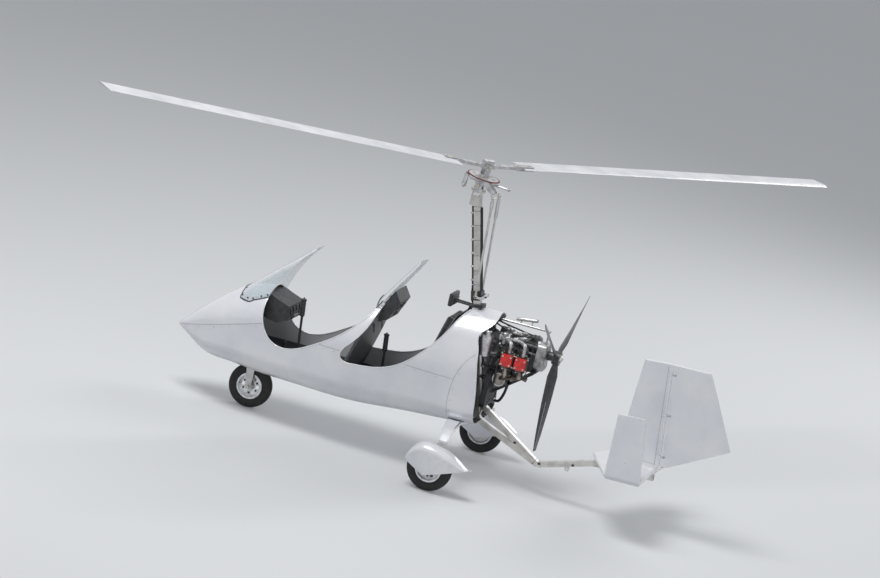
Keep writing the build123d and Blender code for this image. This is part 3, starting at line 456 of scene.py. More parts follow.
CAP = [(0.0, 0.0), (0.014, -0.0015), (0.022, -0.005), (0.0245, -0.010), (0.0245, -0.016), (0.0128, -0.016)]
LIP = [(0.1045, 0.0), (0.1045, 0.0028), (0.112, 0.0034), (0.1185, 0.0028), (0.1185, 0.0), (0.1045, 0.0)]
for side, body in WHEELS.items():
    hub = wheel_hub(side)
    out = Y * (-1 if side == "right" else 1)
    spots = [(hub + ray * 0.069 + out * 0.0125, out) for ray in rays(6, X, Z, radians(30))]
    bolts(f"rim_bolts_{side}", spots, dark_steel, "wheel_alloy", 0.0065, 0.008, 0.0095, body=body)
    place(lathe(f"hub_cap_{side}", CAP, hub + out * 0.052, out, 28), satin_steel, body)
    stem = [hub + X * 0.096 + out * 0.012, hub + X * 0.100 + out * 0.024, hub + X * 0.097 + out * 0.038]
    place(runs(f"valve_{side}", [stem], 0.0032), dark_steel, body)
    # A thin lip stands on each edge of the barrel.
    for edge, word in ((-1, "in"), (1, "out")):
        lip = lathe(f"rim_lip_{side}_{word}", LIP, hub + Y * 0.0405 * edge, Y * edge, 72)
        place(lip, alloy, body)


# Brakes on the main wheels: a disc on the wheel and a caliper on the axle plate.
# Disc of ground steel; caliper of cast alloy with a hose up the gear bow.
cast = finish(
    "cast_alloy", (0.50, 0.50, 0.51), 0.5, 0.85,
    ((18, 5), (0.24, 0.23, 0.22), (0.56, 0.56, 0.57), 0.3, 0.62),
    ((260, 4), 0.38, 0.62), ((260, 4), 0.0007, 0.5),
)
black_hose = finish(
    "black_hose", (0.02, 0.02, 0.022), 0.5, gloss=((90, 3), 0.38, 0.62), relief=((500, 2), 0.0004, 0.3),
)


def shaped_box(name, low, high, round_by, turn=None):
    """A machined or moulded block with rounded edges, turned about its middle by a matrix."""
    shape = bmesh.new()
    bmesh.ops.create_cube(shape, size=1)
    low, high = Vector(low), Vector(high)
    bmesh.ops.scale(shape, vec=high - low, verts=shape.verts)
    if round_by:
        bmesh.ops.bevel(
            shape, geom=shape.edges[:], offset=round_by, segments=3, affect="EDGES", profile=0.5,
            clamp_overlap=True,
        )
    if turn:
        bmesh.ops.transform(shape, matrix=turn, verts=shape.verts)
    bmesh.ops.translate(shape, vec=(low + high) / 2, verts=shape.verts)
    return built(shape, name, 40)


def joined(name, *pieces):
    """Several meshes made one piece."""
    shape = bmesh.new()
    for piece in pieces:
        shape.from_mesh(piece.data)
    shape.to_mesh(pieces[0].data)
    shape.free()
    for piece in pieces[1:]:
        bpy.data.objects.remove(piece)
    pieces[0].name = name
    return pieces[0]


def mirrored(points, side):
    """Points of the left side, or their mirror images for side -1."""
    return [Vector((x, y * side, z)) for x, y, z in points]


SIDES = (("left", 1), ("right", -1))
DISC = [(0.030, -0.0015), (0.030, 0.0015), (0.092, 0.0015), (0.094, 0.0), (0.092, -0.0015), (0.030, -0.0015)]
BOW = [(-0.250, 0.715, 0.452), (-0.262, 0.56, 0.512), (-0.262, 0.43, 0.535), (-0.262, 0.36, 0.543)]
for side, sign in SIDES:
    inner = wheel_hub(side) - Y * 0.0465 * sign
    disc = lathe(f"brake_disc_{side}", DISC, inner, Y, 60)
    place(disc, satin_steel, f"main_wheel_{side}")
    low, high = inner + Vector((0.062, -0.010, -0.030)), inner + Vector((0.104, 0.003, 0.030))
    block = shaped_box(f"caliper_{side}", low, high, 0.004)
    middle = inner + X * 0.083 - Y * 0.012 * sign
    piston = lathe("piston", [(0, 0.0), (0.014, 0.0), (0.016, 0.002), (0.016, 0.008)], middle, Y * -sign, 24)
    place(joined(f"caliper_{side}", block, piston), cast)
    start, bow = middle + Z * 0.028, mirrored(BOW, sign)
    hose = [start, start + Vector((0.01, -0.012 * sign, 0.05)), bow[0] + Vector((0.07, 0.01 * sign, -0.06))]
    place(runs(f"brake_hose_{side}", [hose + bow], 0.0035), black_hose)


# Screws that hold the wheel covers to their brackets.
# Countersunk stainless screws, three on each face of a cover.
SMALL_SCREW = (0.004, 0.0012, 0.0055, 12)


def surface_tree(*names):
    """The CAD nodes' surfaces, to set small pieces on."""
    shape = bmesh.new()
    for name in names:
        shape.from_mesh(nodes[name].data)
    tree = BVHTree.FromBMesh(shape)
    shape.free()
    return tree


def on_surface(tree, start, way):
    """The first point of a surface along a line, with its outward direction, or None."""
    spot, out, _, _ = tree.ray_cast(Vector(start), Vector(way).normalized())
    if spot is None:
        return None
    return spot, (out if out.dot(Vector(way)) < 0 else -out)


def met(tree, lines):
    """The points where lines of (start, direction) meet a surface, without those that miss it."""
    return [hit for hit in (on_surface(tree, start, way) for start, way in lines) if hit]


spat_skin = surface_tree("spats")
for side, sign in SIDES:
    lines = [
        (Vector((x, sign * 0.784 + face * 0.3, z)), Y * -face)
        for x, z in ((-0.03, 0.300), (-0.16, 0.330), (-0.33, 0.320)) for face in (1, -1)
    ]
    bolts(f"spat_screws_{side}", met(spat_skin, lines), satin_steel, "pearl_white", *SMALL_SCREW)


# Joints between the moulded shells: a shadow gap, drawn as a thin grey strip of painted shadow, and rows of
# screws.
# Laps along the nose, the sills and the arched engine cowls; along the nose the grey line also paints the
# shade where the white top turns down to the side.
seal = finish("seal_strip", (0.055, 0.056, 0.06), 0.6, relief=((400, 2), 0.0003, 0.3))
# The lap grey is painted shadow: the shade in the laps between the shells, and the shade along the nose
# crease.
lap_shadow_grey = finish(
    "lap_painted_shadow", (0.24, 0.24, 0.25), 0.6, stain=((30, 4), (0.17, 0.17, 0.18), (0.30, 0.30, 0.31)),
)
body_skin = surface_tree("tub", "nose_cowl", "centre_hood", "rear_fairing", "side_cowls")


def ribbon(name, hits, width, rise):
    """A thin strip that follows (place, outward direction) points on a surface."""
    shape = bmesh.new()
    rows = []
    for number, (spot, out) in enumerate(hits):
        before = hits[max(number - 1, 0)][0]
        after = hits[min(number + 1, len(hits) - 1)][0]
        across = (after - before).cross(out).normalized() * width / 2
        lift = out * rise
        corners = (-across - lift, -across + lift, across + lift, across - lift)
        rows.append([shape.verts.new(spot + corner) for corner in corners])
    skinned(shape, rows)
    shape.faces.new(rows[0])
    shape.faces.new(list(reversed(rows[-1])))
    return built(shape, name)


def side_hits(outline, side, steps):
    """Points where a side outline of (x, z) points, seen from one side, meets the body."""
    hits = []
    for start, end in zip(outline, outline[1:]):
        spots = [Vector(start).lerp(Vector(end), step / steps) for step in range(steps)]
        found = met(body_skin, [((x, side * 0.6, z), Y * -side) for x, z in spots])
        hits += [hit for hit in found if abs(hit[1].y) > 0.08]
    return hits


def curve_through(points, steps=8):
    """Points along the smooth curve that passes through all the (x, z) points."""
    points = [Vector(point) for point in points]
    gaps = [(b - a).length for a, b in zip(points, points[1:])]
    bends = [Vector((0, 0)) for _ in points]
    carry = [0.0]
    rest = [Vector((0, 0))]
    for n in range(1, len(points) - 1):
        before = (points[n] - points[n - 1]) / gaps[n - 1]
        after = (points[n + 1] - points[n]) / gaps[n]
        base = 2 * (gaps[n - 1] + gaps[n]) - gaps[n - 1] * carry[-1]
        base += gaps[0] * (n == 1) + gaps[-1] * (n == len(points) - 2)
        carry.append(gaps[n] / base)
        rest.append((6 * (after - before) - gaps[n - 1] * rest[-1]) / base)
    for n in range(len(points) - 2, 0, -1):
        bends[n] = rest[n] - carry[n] * bends[n + 1]
    bends[0], bends[-1] = bends[1], bends[-2]
    route = []
    for n, gap in enumerate(gaps):
        for far in (step / steps for step in range(steps)):
            near = 1 - far
            pull = (near ** 3 - near) * bends[n] + (far ** 3 - far) * bends[n + 1]
            route.append(tuple(near * points[n] + far * points[n + 1] + pull * gap * gap / 6))
    return route + [tuple(points[-1])]


CREASE = [(2.515, 0.574), (2.30, 0.651), (2.05, 0.741), (1.80, 0.831), (1.684, 0.873)]
COWL_SEAM = curve_through([
    (-0.250, 1.160), (-0.185, 1.080), (-0.131, 0.955), (-0.105, 0.799), (-0.108, 0.660), (-0.130, 0.560),
])
REAR_SILL = [(-0.110, 0.900), (0.120, 0.900), (0.350, 0.900)]
HOOD_SILL = [(0.918, 0.850), (1.152, 0.850)]
SCREW = (0.0042, 0.0012, 0.006, 12)
strips, screws = [], []
for side in (1, -1):
    for outline in (CREASE, COWL_SEAM, REAR_SILL, HOOD_SILL):
        arched = outline is COWL_SEAM
        hits = side_hits(outline, side, 2 if arched else 14)
        strips.append(ribbon("seam", hits, 0.0030, 0.0006))
        gap = max(6, len(hits) // 6)
        drop = (X if arched else Z) * -0.022
        screws += met(body_skin, [(spot + drop + out * 0.1, -out) for spot, out in hits[gap // 2::gap]])
# These grey strips are painted shadow along the laps and painted shade along the nose crease.
place(joined("shell_seam_shadows", *strips), lap_shadow_grey)
bolts("shell_screws", screws, satin_steel, "pearl_white", *SCREW)


# Edge beads: the cut edges of both cockpits are rolled over and painted with the shell.
# Glass fibre laid up thicker at the lip, rubbed round and sprayed pearl white.
FRONT_EDGE = [
    (1.722, 1.080), (1.692, 0.891), (1.601, 0.757), (1.485, 0.714), (1.354, 0.735), (1.180, 0.829),
    (1.038, 0.925), (0.900, 1.045), (0.798, 1.167), (0.747, 1.240), (0.715, 1.330),
]
REAR_EDGE = [
    (0.690, 1.330), (0.714, 1.233), (0.748, 1.120), (0.801, 1.018), (0.872, 0.925), (0.920, 0.858),
    (0.925, 0.800), (0.885, 0.766), (0.800, 0.764), (0.687, 0.778), (0.532, 0.814), (0.387, 0.888),
    (0.255, 1.003), (0.138, 1.143), (0.060, 1.262), (-0.004, 1.392), (-0.062, 1.472),
]


def edge_route(outline, side):
    """The line of a cut edge on one side, half a skin in from the surface."""
    route = []
    for x, z in curve_through(outline, 5):
        # Just beside the cut there is still skin to meet.
        nearby = ((0, -0.006), (0.006, 0), (-0.006, 0), (0, 0.006))
        found = met(body_skin, [((x + dx, side * 0.6, z + dz), Y * -side) for dx, dz in nearby])
        found = [spot.y for spot, _ in found if spot.y * side > 0.02]
        if found:
            route.append(Vector((x, found[0] - 0.004 * side, z)))
    return route


trim = [edge_route(outline, side) for side in (1, -1) for outline in (FRONT_EDGE, REAR_EDGE)]
place(runs("cockpit_edge_beads", trim, 0.0060, smooth=False), pearl_paint)


# Windscreens: thin clear sheets with a rubber foot, held to the body by a row of screws.
# Drape-formed polycarbonate; the cut edge is polished, the sheet a little hazed by wind-borne dust.
screen, tree, shader = surface("clear_screen", (0.80, 0.82, 0.84), 0.06, coat=1.0)


def blended(tree, share, first, second, end):
    """Two shaders mixed by a grey value, as what a material or the sky shows at the end."""
    mix = new_node(tree, "ShaderNodeMixShader", {0: share, 1: first, 2: second})
    fill(tree, tree.nodes[end], {"Surface": mix["Shader"]})


clear = new_node(tree, "ShaderNodeBsdfTransparent", {"Color": (0.93, 0.95, 0.955, 1)})["BSDF"]
rim = new_node(tree, "ShaderNodeLayerWeight", {"Blend": 0.5})["Facing"]
blended(tree, level(tree, rim, 0.12, 0.94, 0.42, 0.82), clear, shader.outputs["BSDF"], "Material Output")
fill(tree, shader, {"Roughness": level(tree, noise(tree, 5, 6), 0.03, 0.18, 0.4, 0.75)})
dress(screen, "windscreen_front", "windscreen_rear")


def foot_line(name, reach):
    """The lowest points of a screen that are within reach of the body, in order round its front."""
    near = []
    for vert in nodes[name].data.vertices:
        _, _, _, distance = body_skin.find_nearest(vert.co)
        if distance < reach:
            near.append(vert.co.copy())
    middle = Vector((min(spot.x for spot in near) - 0.03, 0))
    found = {}
    for spot in near:
        away = spot.to_2d() - middle
        key = round(Vector((1, 0)).angle_signed(away) / 0.07)
        score = away.length - 4 * spot.z
        if key not in found or score > found[key][0]:
            found[key] = (score, spot)
    return [found[key][1] for key in sorted(found)]


foot = foot_line("windscreen_front", 0.004)
place(runs("windscreen_front_foot", [foot], 0.0058), seal)
lines = []
for spot in foot[1::3]:
    away = Vector((0.5, spot.y * 4, 0)).normalized()
    lines.append((spot + away * 0.1 + Z * 0.026, -away))
screws = met(surface_tree("windscreen_front"), lines)
bolts("windscreen_front_screws", screws, dark_steel, "black_plastic", 0.0045, 0.003, 0.008, 12)


# Scuttle of the rear screen: a moulded lip that carries the sheet ahead of the centre hood.
# Glass fibre in shell white, screwed down on the hood, with a rubber foot on its front edge.
foot = foot_line("windscreen_rear", 0.060)
shape = bmesh.new()
sections, screws = [], []
for spot in foot:
    lines = (((0.704, spot.y * 0.99, 1.6), -Z), ((0.711, spot.y * 0.995, 1.6), -Z))
    hood = met(body_skin, lines)
    if len(hood) == 2 and min(hit[0].z for hit in hood) > 1.15:
        away = Vector((0.3, spot.y, 0)).normalized()
        line = [at + out * lift for (at, out), lift in zip(hood, (0.002, 0.003))]
        line.append(spot + Vector((0.003, 0, -0.004)) + away * 0.002)
        line.append(spot + Vector((0.002, 0, 0.006)) + away * 0.004)
        sections.append([shape.verts.new(point) for point in line])
        screws.append(hood[0])
skinned(shape, sections, around=False)
scuttle = built(shape, "rear_scuttle")
set_up(scuttle.modifiers.new("smooth", "SUBSURF"), levels=1, render_levels=1)
set_up(scuttle.modifiers.new("wall", "SOLIDIFY"), thickness=0.004, offset=0)
place(meshed(scuttle, "rear_scuttle"), pearl_paint)
route = [spot + Vector((0.002, 0, 0.004)) for spot in foot]
place(runs("windscreen_rear_foot", [route], 0.0050), seal)
spots = [(spot + out * 0.004, out) for spot, out in screws[1::2]]
bolts("scuttle_screws", spots, satin_steel, "pearl_white", *SCREW)


# Instrument panels: black moulded pods with round dials, switches and a leather-grained hood.
# Dials are alloy cases with a bezel, a printed face, a needle and plain numbers.
grained = finish(
    "grained_plastic", (0.035, 0.036, 0.04), 0.55,
    stain=((20, 4), (0.028, 0.029, 0.032), (0.055, 0.055, 0.06)), gloss=((60, 3), 0.45, 0.68),
)
tree = grained.node_tree
hide = new_node(tree, "ShaderNodeTexVoronoi", {"Vector": own_place(tree), "Scale": 520})["Distance"]
bumped(tree, tree.nodes["Principled BSDF"], hide, 0.0008, 0.4)
dress(grained, "instrument_panels", edge=0.004)
face_black = finish("dial_face", (0.012, 0.012, 0.014), 0.4, gloss=((300, 2), 0.32, 0.5))
mark_white = finish(
    "dial_marks", (0.85, 0.85, 0.82), 0.5, stain=((200, 2), (0.78, 0.78, 0.75), (0.9, 0.9, 0.87)),
)
bezel_black = finish("bezel_black", (0.02, 0.02, 0.022), 0.3, 0.4, gloss=((200, 2), 0.22, 0.42))
BEZEL = [(0.86, 0.001), (0.9, 0.0065), (1, 0.005), (1.04, 0.0), (0.86, 0.0)]


def dial(name, centre, out, radius, needle):
    """A round dial: bezel, face, twelve marks, a few numbers and a needle at an angle in degrees."""
    across, up = -Y, out.cross(-Y)
    bezel = [(radius * share, height) for share, height in BEZEL]
    place(lathe(f"{name}_bezel", bezel, centre, out, 40), bezel_black)
    plate = [(0, 0.0012), (radius * 0.88, 0.0012), (radius * 0.88, 0.0)]
    place(lathe(f"{name}_face", plate, centre, out, 40), face_black)
    print_at, needle_at = centre + out * 0.0016, centre + out * 0.003
    marks = [[print_at + ray * radius * 0.70, print_at + ray * radius * 0.82] for ray in rays(12, across, up)]
    ray = rays(1, across, up, radians(needle))[0] * radius
    marks.append([needle_at - ray * 0.16, needle_at + ray * 0.62])
    words = [runs(f"{name}_marks", marks, 0.00075, smooth=False, sides=1)]
    for number, ray in zip((0, 3, 6, 9), rays(4, up, across)):
        label = set_up(
            bpy.data.curves.new("number", "FONT"), body=str(number), size=radius * 0.26,
            align_x="CENTER", align_y="CENTER", extrude=0.0002,
        )
        word = meshed(linked("number", label), "number")
        spot = print_at + ray * radius * 0.52
        word.data.transform(Matrix.Translation(spot) @ Matrix((across, up, out)).transposed().to_4x4())
        words.append(word)
    place(joined(f"{name}_marks", *words), mark_white)


# The rear face of each pod leans back towards its seat; dials sit in rows across it.
PANELS = [
    # seat, top and bottom of the face, rows of dials: share of the way down, places, radius
    ("front", (1.5270, 0, 1.046), (1.506, 0, 0.922),
     [(0.32, [-0.125, -0.042, 0.042, 0.125], 0.036), (0.80, [-0.10, 0.10], 0.026)]),
    ("rear", (0.560, 0, 1.362), (0.640, 0, 1.180), [(0.34, [-0.06, 0.06], 0.038), (0.78, [0.0], 0.028)]),
]
for name, top, bottom, rows in PANELS:
    top, down = Vector(top), Vector(bottom) - Vector(top)
    out = Y.cross(down).normalized()
    for row, (share, places, radius) in enumerate(rows):
        for number, y in enumerate(places):
            spot = top + down * share + Y * y + out * 0.0002
            dial(f"{name}_dial_{row}{number}", spot, out, radius, 200 - 55 * number + 40 * row)
    if name == "front":
        spots = [(top + down * 0.8 + Y * y, out) for y in (-0.045, -0.022, 0, 0.022, 0.045)]
        bolts("panel_switches", spots, satin_steel, "black_plastic", 0.003, 0.016, 0.007, 10)


# Seats: a moulded pan with loose cushions of foam in a sewn cover.
# Black woven cover with grey piping and sewn channels: three on a base, four on a back.
def patterned(name, colour, rough, metal, bands, low, high, depth, strength, stain=None):
    """A material with crossing bands, each (scale, axis, distortion), in its colour and relief."""
    made, tree, shader = surface(name, colour, rough, metal)
    pattern = None
    for scale, axis, distortion in bands:
        values = {"Vector": own_place(tree), "Scale": scale, "Distortion": distortion}
        grey = new_node(tree, "ShaderNodeTexWave", values, bands_direction=axis)["Fac"]
        pattern = worked_out(tree, "MULTIPLY", pattern, grey) if pattern else grey
    if stain:
        low = tint(tree, noise(tree, *stain[0]), *stain[1:])
    fill(tree, shader, {"Base Color": mixed(tree, pattern, low, high)})
    bumped(tree, shader, pattern, depth, strength)
    return made


weave = patterned(
    "seat_cover", (0.03, 0.03, 0.034), 0.85, 0.0, [(260, "X", 0.6), (260, "Y", 0.6)],
    None, (0.085, 0.085, 0.09), 0.0006, 0.5,
    ((12, 5), (0.022, 0.022, 0.025), (0.062, 0.061, 0.064), 0.35, 0.7),
)
weave.node_tree.nodes["Principled BSDF"].inputs["Sheen Weight"].default_value = 0.35
piping = finish("piping", (0.20, 0.20, 0.21), 0.6, stain=((300, 2), (0.15, 0.15, 0.16), (0.24, 0.24, 0.25)))
pan_grey = finish(
    "pan_gelcoat", (0.085, 0.086, 0.09), 0.5,
    stain=((25, 5), (0.06, 0.061, 0.065), (0.11, 0.11, 0.115)), relief=((180, 3), 0.0006, 0.35),
)
dress(pan_grey, "seat_pan_front", "seat_pan_rear", edge=0.0015)


def use_modifiers(piece):
    """Fix a piece's modifiers into its mesh."""
    old, mesh = piece.data, final_mesh(piece)
    piece.modifiers.clear()
    piece.data = mesh
    bpy.data.meshes.remove(old)


def press(mesh, depths):
    """Move each point of a mesh inwards by its own depth."""
    outward = [vert.normal.copy() for vert in mesh.vertices]
    for vert, out, depth in zip(mesh.vertices, outward, depths):
        vert.co -= out * depth


CAP_HEIGHT = 0.012
SHRINK = 0.006
OVERHANG = 0.004


def stuffed(node, name):
    """A cushion blown up from its CAD solid, no point moved further than the cap."""
    shape = bmesh.new()
    shape.from_mesh(nodes[node].data)
    bmesh.ops.remove_doubles(shape, verts=shape.verts, dist=0.00002)
    mesh = bpy.data.meshes.new(name)
    shape.to_mesh(mesh)
    shape.free()
    piece = linked(name, mesh)
    set_up(piece.modifiers.new("voxels", "REMESH"), mode="VOXEL", voxel_size=0.007)
    bpy.context.view_layer.update()
    use_modifiers(piece)
    press(piece.data, [SHRINK] * len(piece.data.vertices))
    start = [vert.co.copy() for vert in piece.data.vertices]
    cloth = piece.modifiers.new("cloth", "CLOTH").settings
    set_up(cloth, use_pressure=True, uniform_pressure_force=4, quality=4)
    cloth.effector_weights.gravity = 0
    for number in range(1, 21):
        bpy.context.scene.frame_set(number)
    use_modifiers(piece)
    bpy.context.scene.frame_set(1)
    low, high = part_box(node)
    for vert, origin in zip(piece.data.vertices, start):
        moved = vert.co - origin
        if moved.length > CAP_HEIGHT:
            vert.co = origin + moved * (CAP_HEIGHT / moved.length)
        for axis in range(3):
            vert.co[axis] = min(max(vert.co[axis], low[axis] - OVERHANG), high[axis] + OVERHANG)
    return piece


def piped_edge(skin, middle, flat_y, side, way):
    """The outermost places round one side of a cushion that are nearly as far out as its flat."""
    route = []
    flank = Vector((middle.x, side * 0.1, middle.z))
    for ray in rays(48, way, way.cross(Y)):
        flat = skin.ray_cast(flank + ray * 0.6, -ray)[0]
        for inset in range(12, 80, 3):
            start = Vector((middle.x, side * (flat_y - inset / 1000), middle.z))
            hit = skin.ray_cast(start + ray * 0.6, -ray)[0]
            if hit and flat and (hit - start).length > (flat - flank).length - 0.010:
                route.append(hit)
                break
    return route + route[:1]


CUSHIONS = [
    # CAD piece, name, direction along the cushion, channels
    ("cushion_front", "front_seat_cushion", (0.992, 0, 0.124), 3),
    ("back_front", "front_seat_back", (-0.274, 0, 0.962), 4),
    ("cushion_rear", "rear_seat_cushion", (0.989, 0, 0.145), 3),
    ("back_rear", "rear_seat_back", (-0.27, 0, 0.963), 4),
]
CHANNEL_DEPTH = 0.006
CHANNEL_WIDTH = 0.010
skins = {}
for node, name, along, count in CUSHIONS:
    piece = stuffed(node, name)
    way = Vector(along).normalized()
    ends = [vert.co.dot(way) for vert in piece.data.vertices]
    span = max(ends) - min(ends)
    lines = [min(ends) + span * number / (count + 1) for number in range(1, count + 1)]
    depths = []
    for at in ends:
        near = sum(exp(-((at - line) / CHANNEL_WIDTH) ** 2) for line in lines)
        depths.append(CHANNEL_DEPTH * min(near, 1))
    press(piece.data, depths)
    set_up(piece.modifiers.new("smooth", "SUBSURF"), levels=1, render_levels=1)
    use_modifiers(piece)
    place(rounded(piece, 180), weave)
    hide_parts(node)
    # Piping runs round each side of the cushion, half sunk in the cover.
    mesh = piece.data
    faces = [list(face.vertices) for face in mesh.polygons]
    skins[node] = BVHTree.FromPolygons([corner.co.copy() for corner in mesh.vertices], faces)
    low, high = (Vector(c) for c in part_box(node))
    routes = [piped_edge(skins[node], (low + high) / 2, high.y, side, way) for side in (-1, 1)]
    place(runs(f"{name}_piping", routes, 0.0026, sides=2), piping)


# Headrest: a foam pad in the same cover on a bracket of black tube from the mast.
# The pad is sewn; the bracket is welded and bolted to the mast.
head_pad = shaped_box("headrest_pad", (0.119, -0.108, 1.442), (0.157, 0.108, 1.558), 0.014)
place(head_pad, weave)
powder = finish(
    "black_powder_coat", (0.03, 0.03, 0.032), 0.42,
    stain=((16, 4), (0.024, 0.024, 0.026), (0.05, 0.05, 0.052)), relief=((420, 3), 0.0005, 0.4),
)
arms = [[(0.119, y, 1.49), (0.0, y, 1.49), (-0.085, y, 1.49)] for y in (0.03, -0.03)]
bracket = runs("headrest_bracket", arms, 0.009, smooth=False)
plate = shaped_box("headrest_plate", (0.106, -0.06, 1.462), (0.1185, 0.06, 1.52), 0.002)
place(joined("headrest_bracket", bracket, plate), powder)
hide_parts("headrest")


# Harness: four-point belts of 46 mm webbing on each seat, with a steel turn buckle.
# Woven polyester, lying slack on the cushions.
webbing = patterned(
    "webbing", (0.05, 0.05, 0.055), 0.8, 0.0, [(330, "Z", 0.0)],
    (0.03, 0.03, 0.034), (0.085, 0.085, 0.092), 0.0006, 0.6,
)
BELT_WIDTH = 0.046
BELT_THICKNESS = 0.0022


def strap(name, points):
    """A flat belt along a smooth route of (place, outward direction) points."""
    guide = spline(name, [[spot for spot, _ in points]])
    guide.resolution_u = 5
    path = meshed(linked(name, guide), "path")
    spots = [vert.co.copy() for vert in path.data.vertices]
    bpy.data.objects.remove(path)
    hits = []
    for number, spot in enumerate(spots):
        share = number / (len(spots) - 1) * (len(points) - 1)
        first = min(int(share), len(points) - 2)
        out = Vector(points[first][1]).lerp(Vector(points[first + 1][1]), share - first)
        hits.append((spot, out.normalized()))
    return ribbon(name, hits, BELT_WIDTH, BELT_THICKNESS / 2)


def resting(skin, above, way, raised=0.0):
    """The point and outward direction where a belt touches a cushion, met from above it."""
    way = way.normalized()
    hit, _, _, _ = skin.ray_cast(Vector(above), way)
    if hit is None:
        hit, _, _, _ = skin.find_nearest(Vector(above))
    return hit - way * 0.0035 + Z * raised, -way


BELTS = [
    # seat, foot and top of the back's front face
    ("front", (0.973, 0, 0.596), (0.816, 0, 1.148)),
    ("rear", (0.304, 0, 0.664), (0.100, 0, 1.390)),
]
DOWN_THE_BACK = ((0.95, 0.102), (0.86, 0.098), (0.70, 0.090), (0.52, 0.080), (0.34, 0.070), (0.22, 0.064))
OVER_THE_LAP = ((-0.055, 0.185), (-0.040, 0.150), (-0.020, 0.095), (-0.004, 0.045), (0.0, 0.022))
for seat, foot, top in BELTS:
    back_skin, base_skin = skins[f"back_{seat}"], skins[f"cushion_{seat}"]
    foot, top = Vector(foot), Vector(top)
    rise = (top - foot).normalized()
    chest = Vector((rise.z, 0, -rise.x))
    belts = []
    buckle_x = foot.x + 0.135
    centre, _ = resting(base_skin, (buckle_x, 0, 1.2), -Z)
    for side in (-1, 1):
        points = [
            (top - chest * 0.075 + Vector((0, side * 0.112, -0.10)), -chest),
            (top - chest * 0.062 + Vector((0, side * 0.110, -0.02)), -chest),
        ]
        for depth, lean in ((0.045, -0.3), (0.015, 0.4)):
            spot, _ = resting(back_skin, top - chest * depth + Vector((0, side * 0.105, 0.3)), -Z, 0.002)
            points.append((spot, (rise + chest * lean).normalized()))
        for share, y in DOWN_THE_BACK:
            points.append(resting(back_skin, foot.lerp(top, share) + chest * 0.3 + Y * side * y, -chest))
        for x, y in ((foot.x + 0.030, 0.056), (foot.x + 0.065, 0.042), (buckle_x - 0.022, 0.022)):
            points.append(resting(base_skin, (x, side * y, 1.2), -Z, 0.004))
        belts.append(strap(f"{seat}_shoulder_belt", points))
        points = [
            (Vector((buckle_x - 0.10, side * 0.2, centre.z - 0.10)), Y * side),
            (Vector((buckle_x - 0.075, side * 0.199, centre.z - 0.035)), Vector((0, side, 0.2)).normalized()),
        ]
        points += [resting(base_skin, (buckle_x + x, side * y, 1.2), -Z, 0.003) for x, y in OVER_THE_LAP]
        belts.append(strap(f"{seat}_lap_belt", points))
    place(joined(f"{seat}_harness", *belts), webbing)
    spot = centre + Z * 0.003
    knob = [(0, 0.016), (0.020, 0.015), (0.026, 0.011), (0.030, 0.0), (0, 0.0)]
    buckle = lathe(f"{seat}_buckle", knob, spot, (-0.12, 0, 1), 32)
    low, high = spot + Vector((-0.006, -0.024, 0.013)), spot + Vector((0.006, 0.024, 0.022))
    bar = shaped_box(f"{seat}_buckle_bar", low, high, 0.002)
    place(joined(f"{seat}_buckle", buckle, bar), satin_steel)


# Controls: each stick has a moulded grip with a button and a folded boot at the floor.
# Black powder-coated steel, grips of grained plastic and boots of rubber.
dress(powder, "control_sticks", "pedals", edge=0.001)
STICKS = [
    # seat, foot and top of the grip, place of the boot
    ("front", (1.450, 0, 0.948), (1.464, 0, 1.098), (1.402, 0, 0.470)),
    ("rear", (0.640, 0, 0.860), (0.654, 0, 1.010), (0.612, 0, 0.508)),
]
GRIP = [(0.0120, -0.004), (0.0200, 0.0)]
FOLDS = [(0.064, 0.0), (0.066, 0.004)]
for number in range(5):
    GRIP += [(r, 0.018 + 0.024 * number + dz) for r, dz in zip(
        (0.0205, 0.0232, 0.0232, 0.0205), (-0.009, -0.003, 0.003, 0.009)
    )]
    size = 0.058 - 0.0085 * number
    FOLDS += [(size + 0.004, 0.010 + 0.012 * number), (size - 0.004, 0.016 + 0.012 * number)]
GRIP += [(0.0215, 0.138), (0.0255, 0.146), (0.0250, 0.154), (0.0140, 0.160), (0.0, 0.161)]
FOLDS += [(0.013, 0.074), (0.0125, 0.080)]
for name, low, high, boot in STICKS:
    way = Vector(high) - Vector(low)
    grip = lathe(f"{name}_grip", GRIP, low, way, 28)
    button = lathe("button", [(0, 0.172), (0.005, 0.171), (0.006, 0.160)], low, way, 20)
    place(joined(f"{name}_grip", grip, button), grained)
    place(lathe(f"{name}_boot", FOLDS, boot, Z, 36), seal)


# Mast fittings: the cable loom, the flexible drive's clips and the cover at the mast's foot.
# Bent steel clips with a bolt, a black moulded cover and a loom tied with plastic ties.
MAST_TOP, MAST_FOOT = Vector((0.136, 0, 2.440)), Vector((-0.301, 0, 0.580))
mast_way = (MAST_TOP - MAST_FOOT).normalized()
mast_front = Vector((mast_way.z, 0, -mast_way.x))
square_to_mast = Matrix((mast_front, Y, mast_way)).transposed().to_4x4()


def on_mast(height, forward=0.0, left=0.0):
    """A point beside the mast's middle line at a height, forward and left of it."""
    share = (height - MAST_FOOT.z) / (MAST_TOP.z - MAST_FOOT.z)
    return MAST_FOOT.lerp(MAST_TOP, share) + mast_front * forward + Y * left


def mast_block(name, low, high, round_by, spot):
    """A block square to the mast, measured from a spot on it."""
    block = shaped_box(name, low, high, round_by, square_to_mast)
    block.data.transform(Matrix.Translation(spot))
    return block


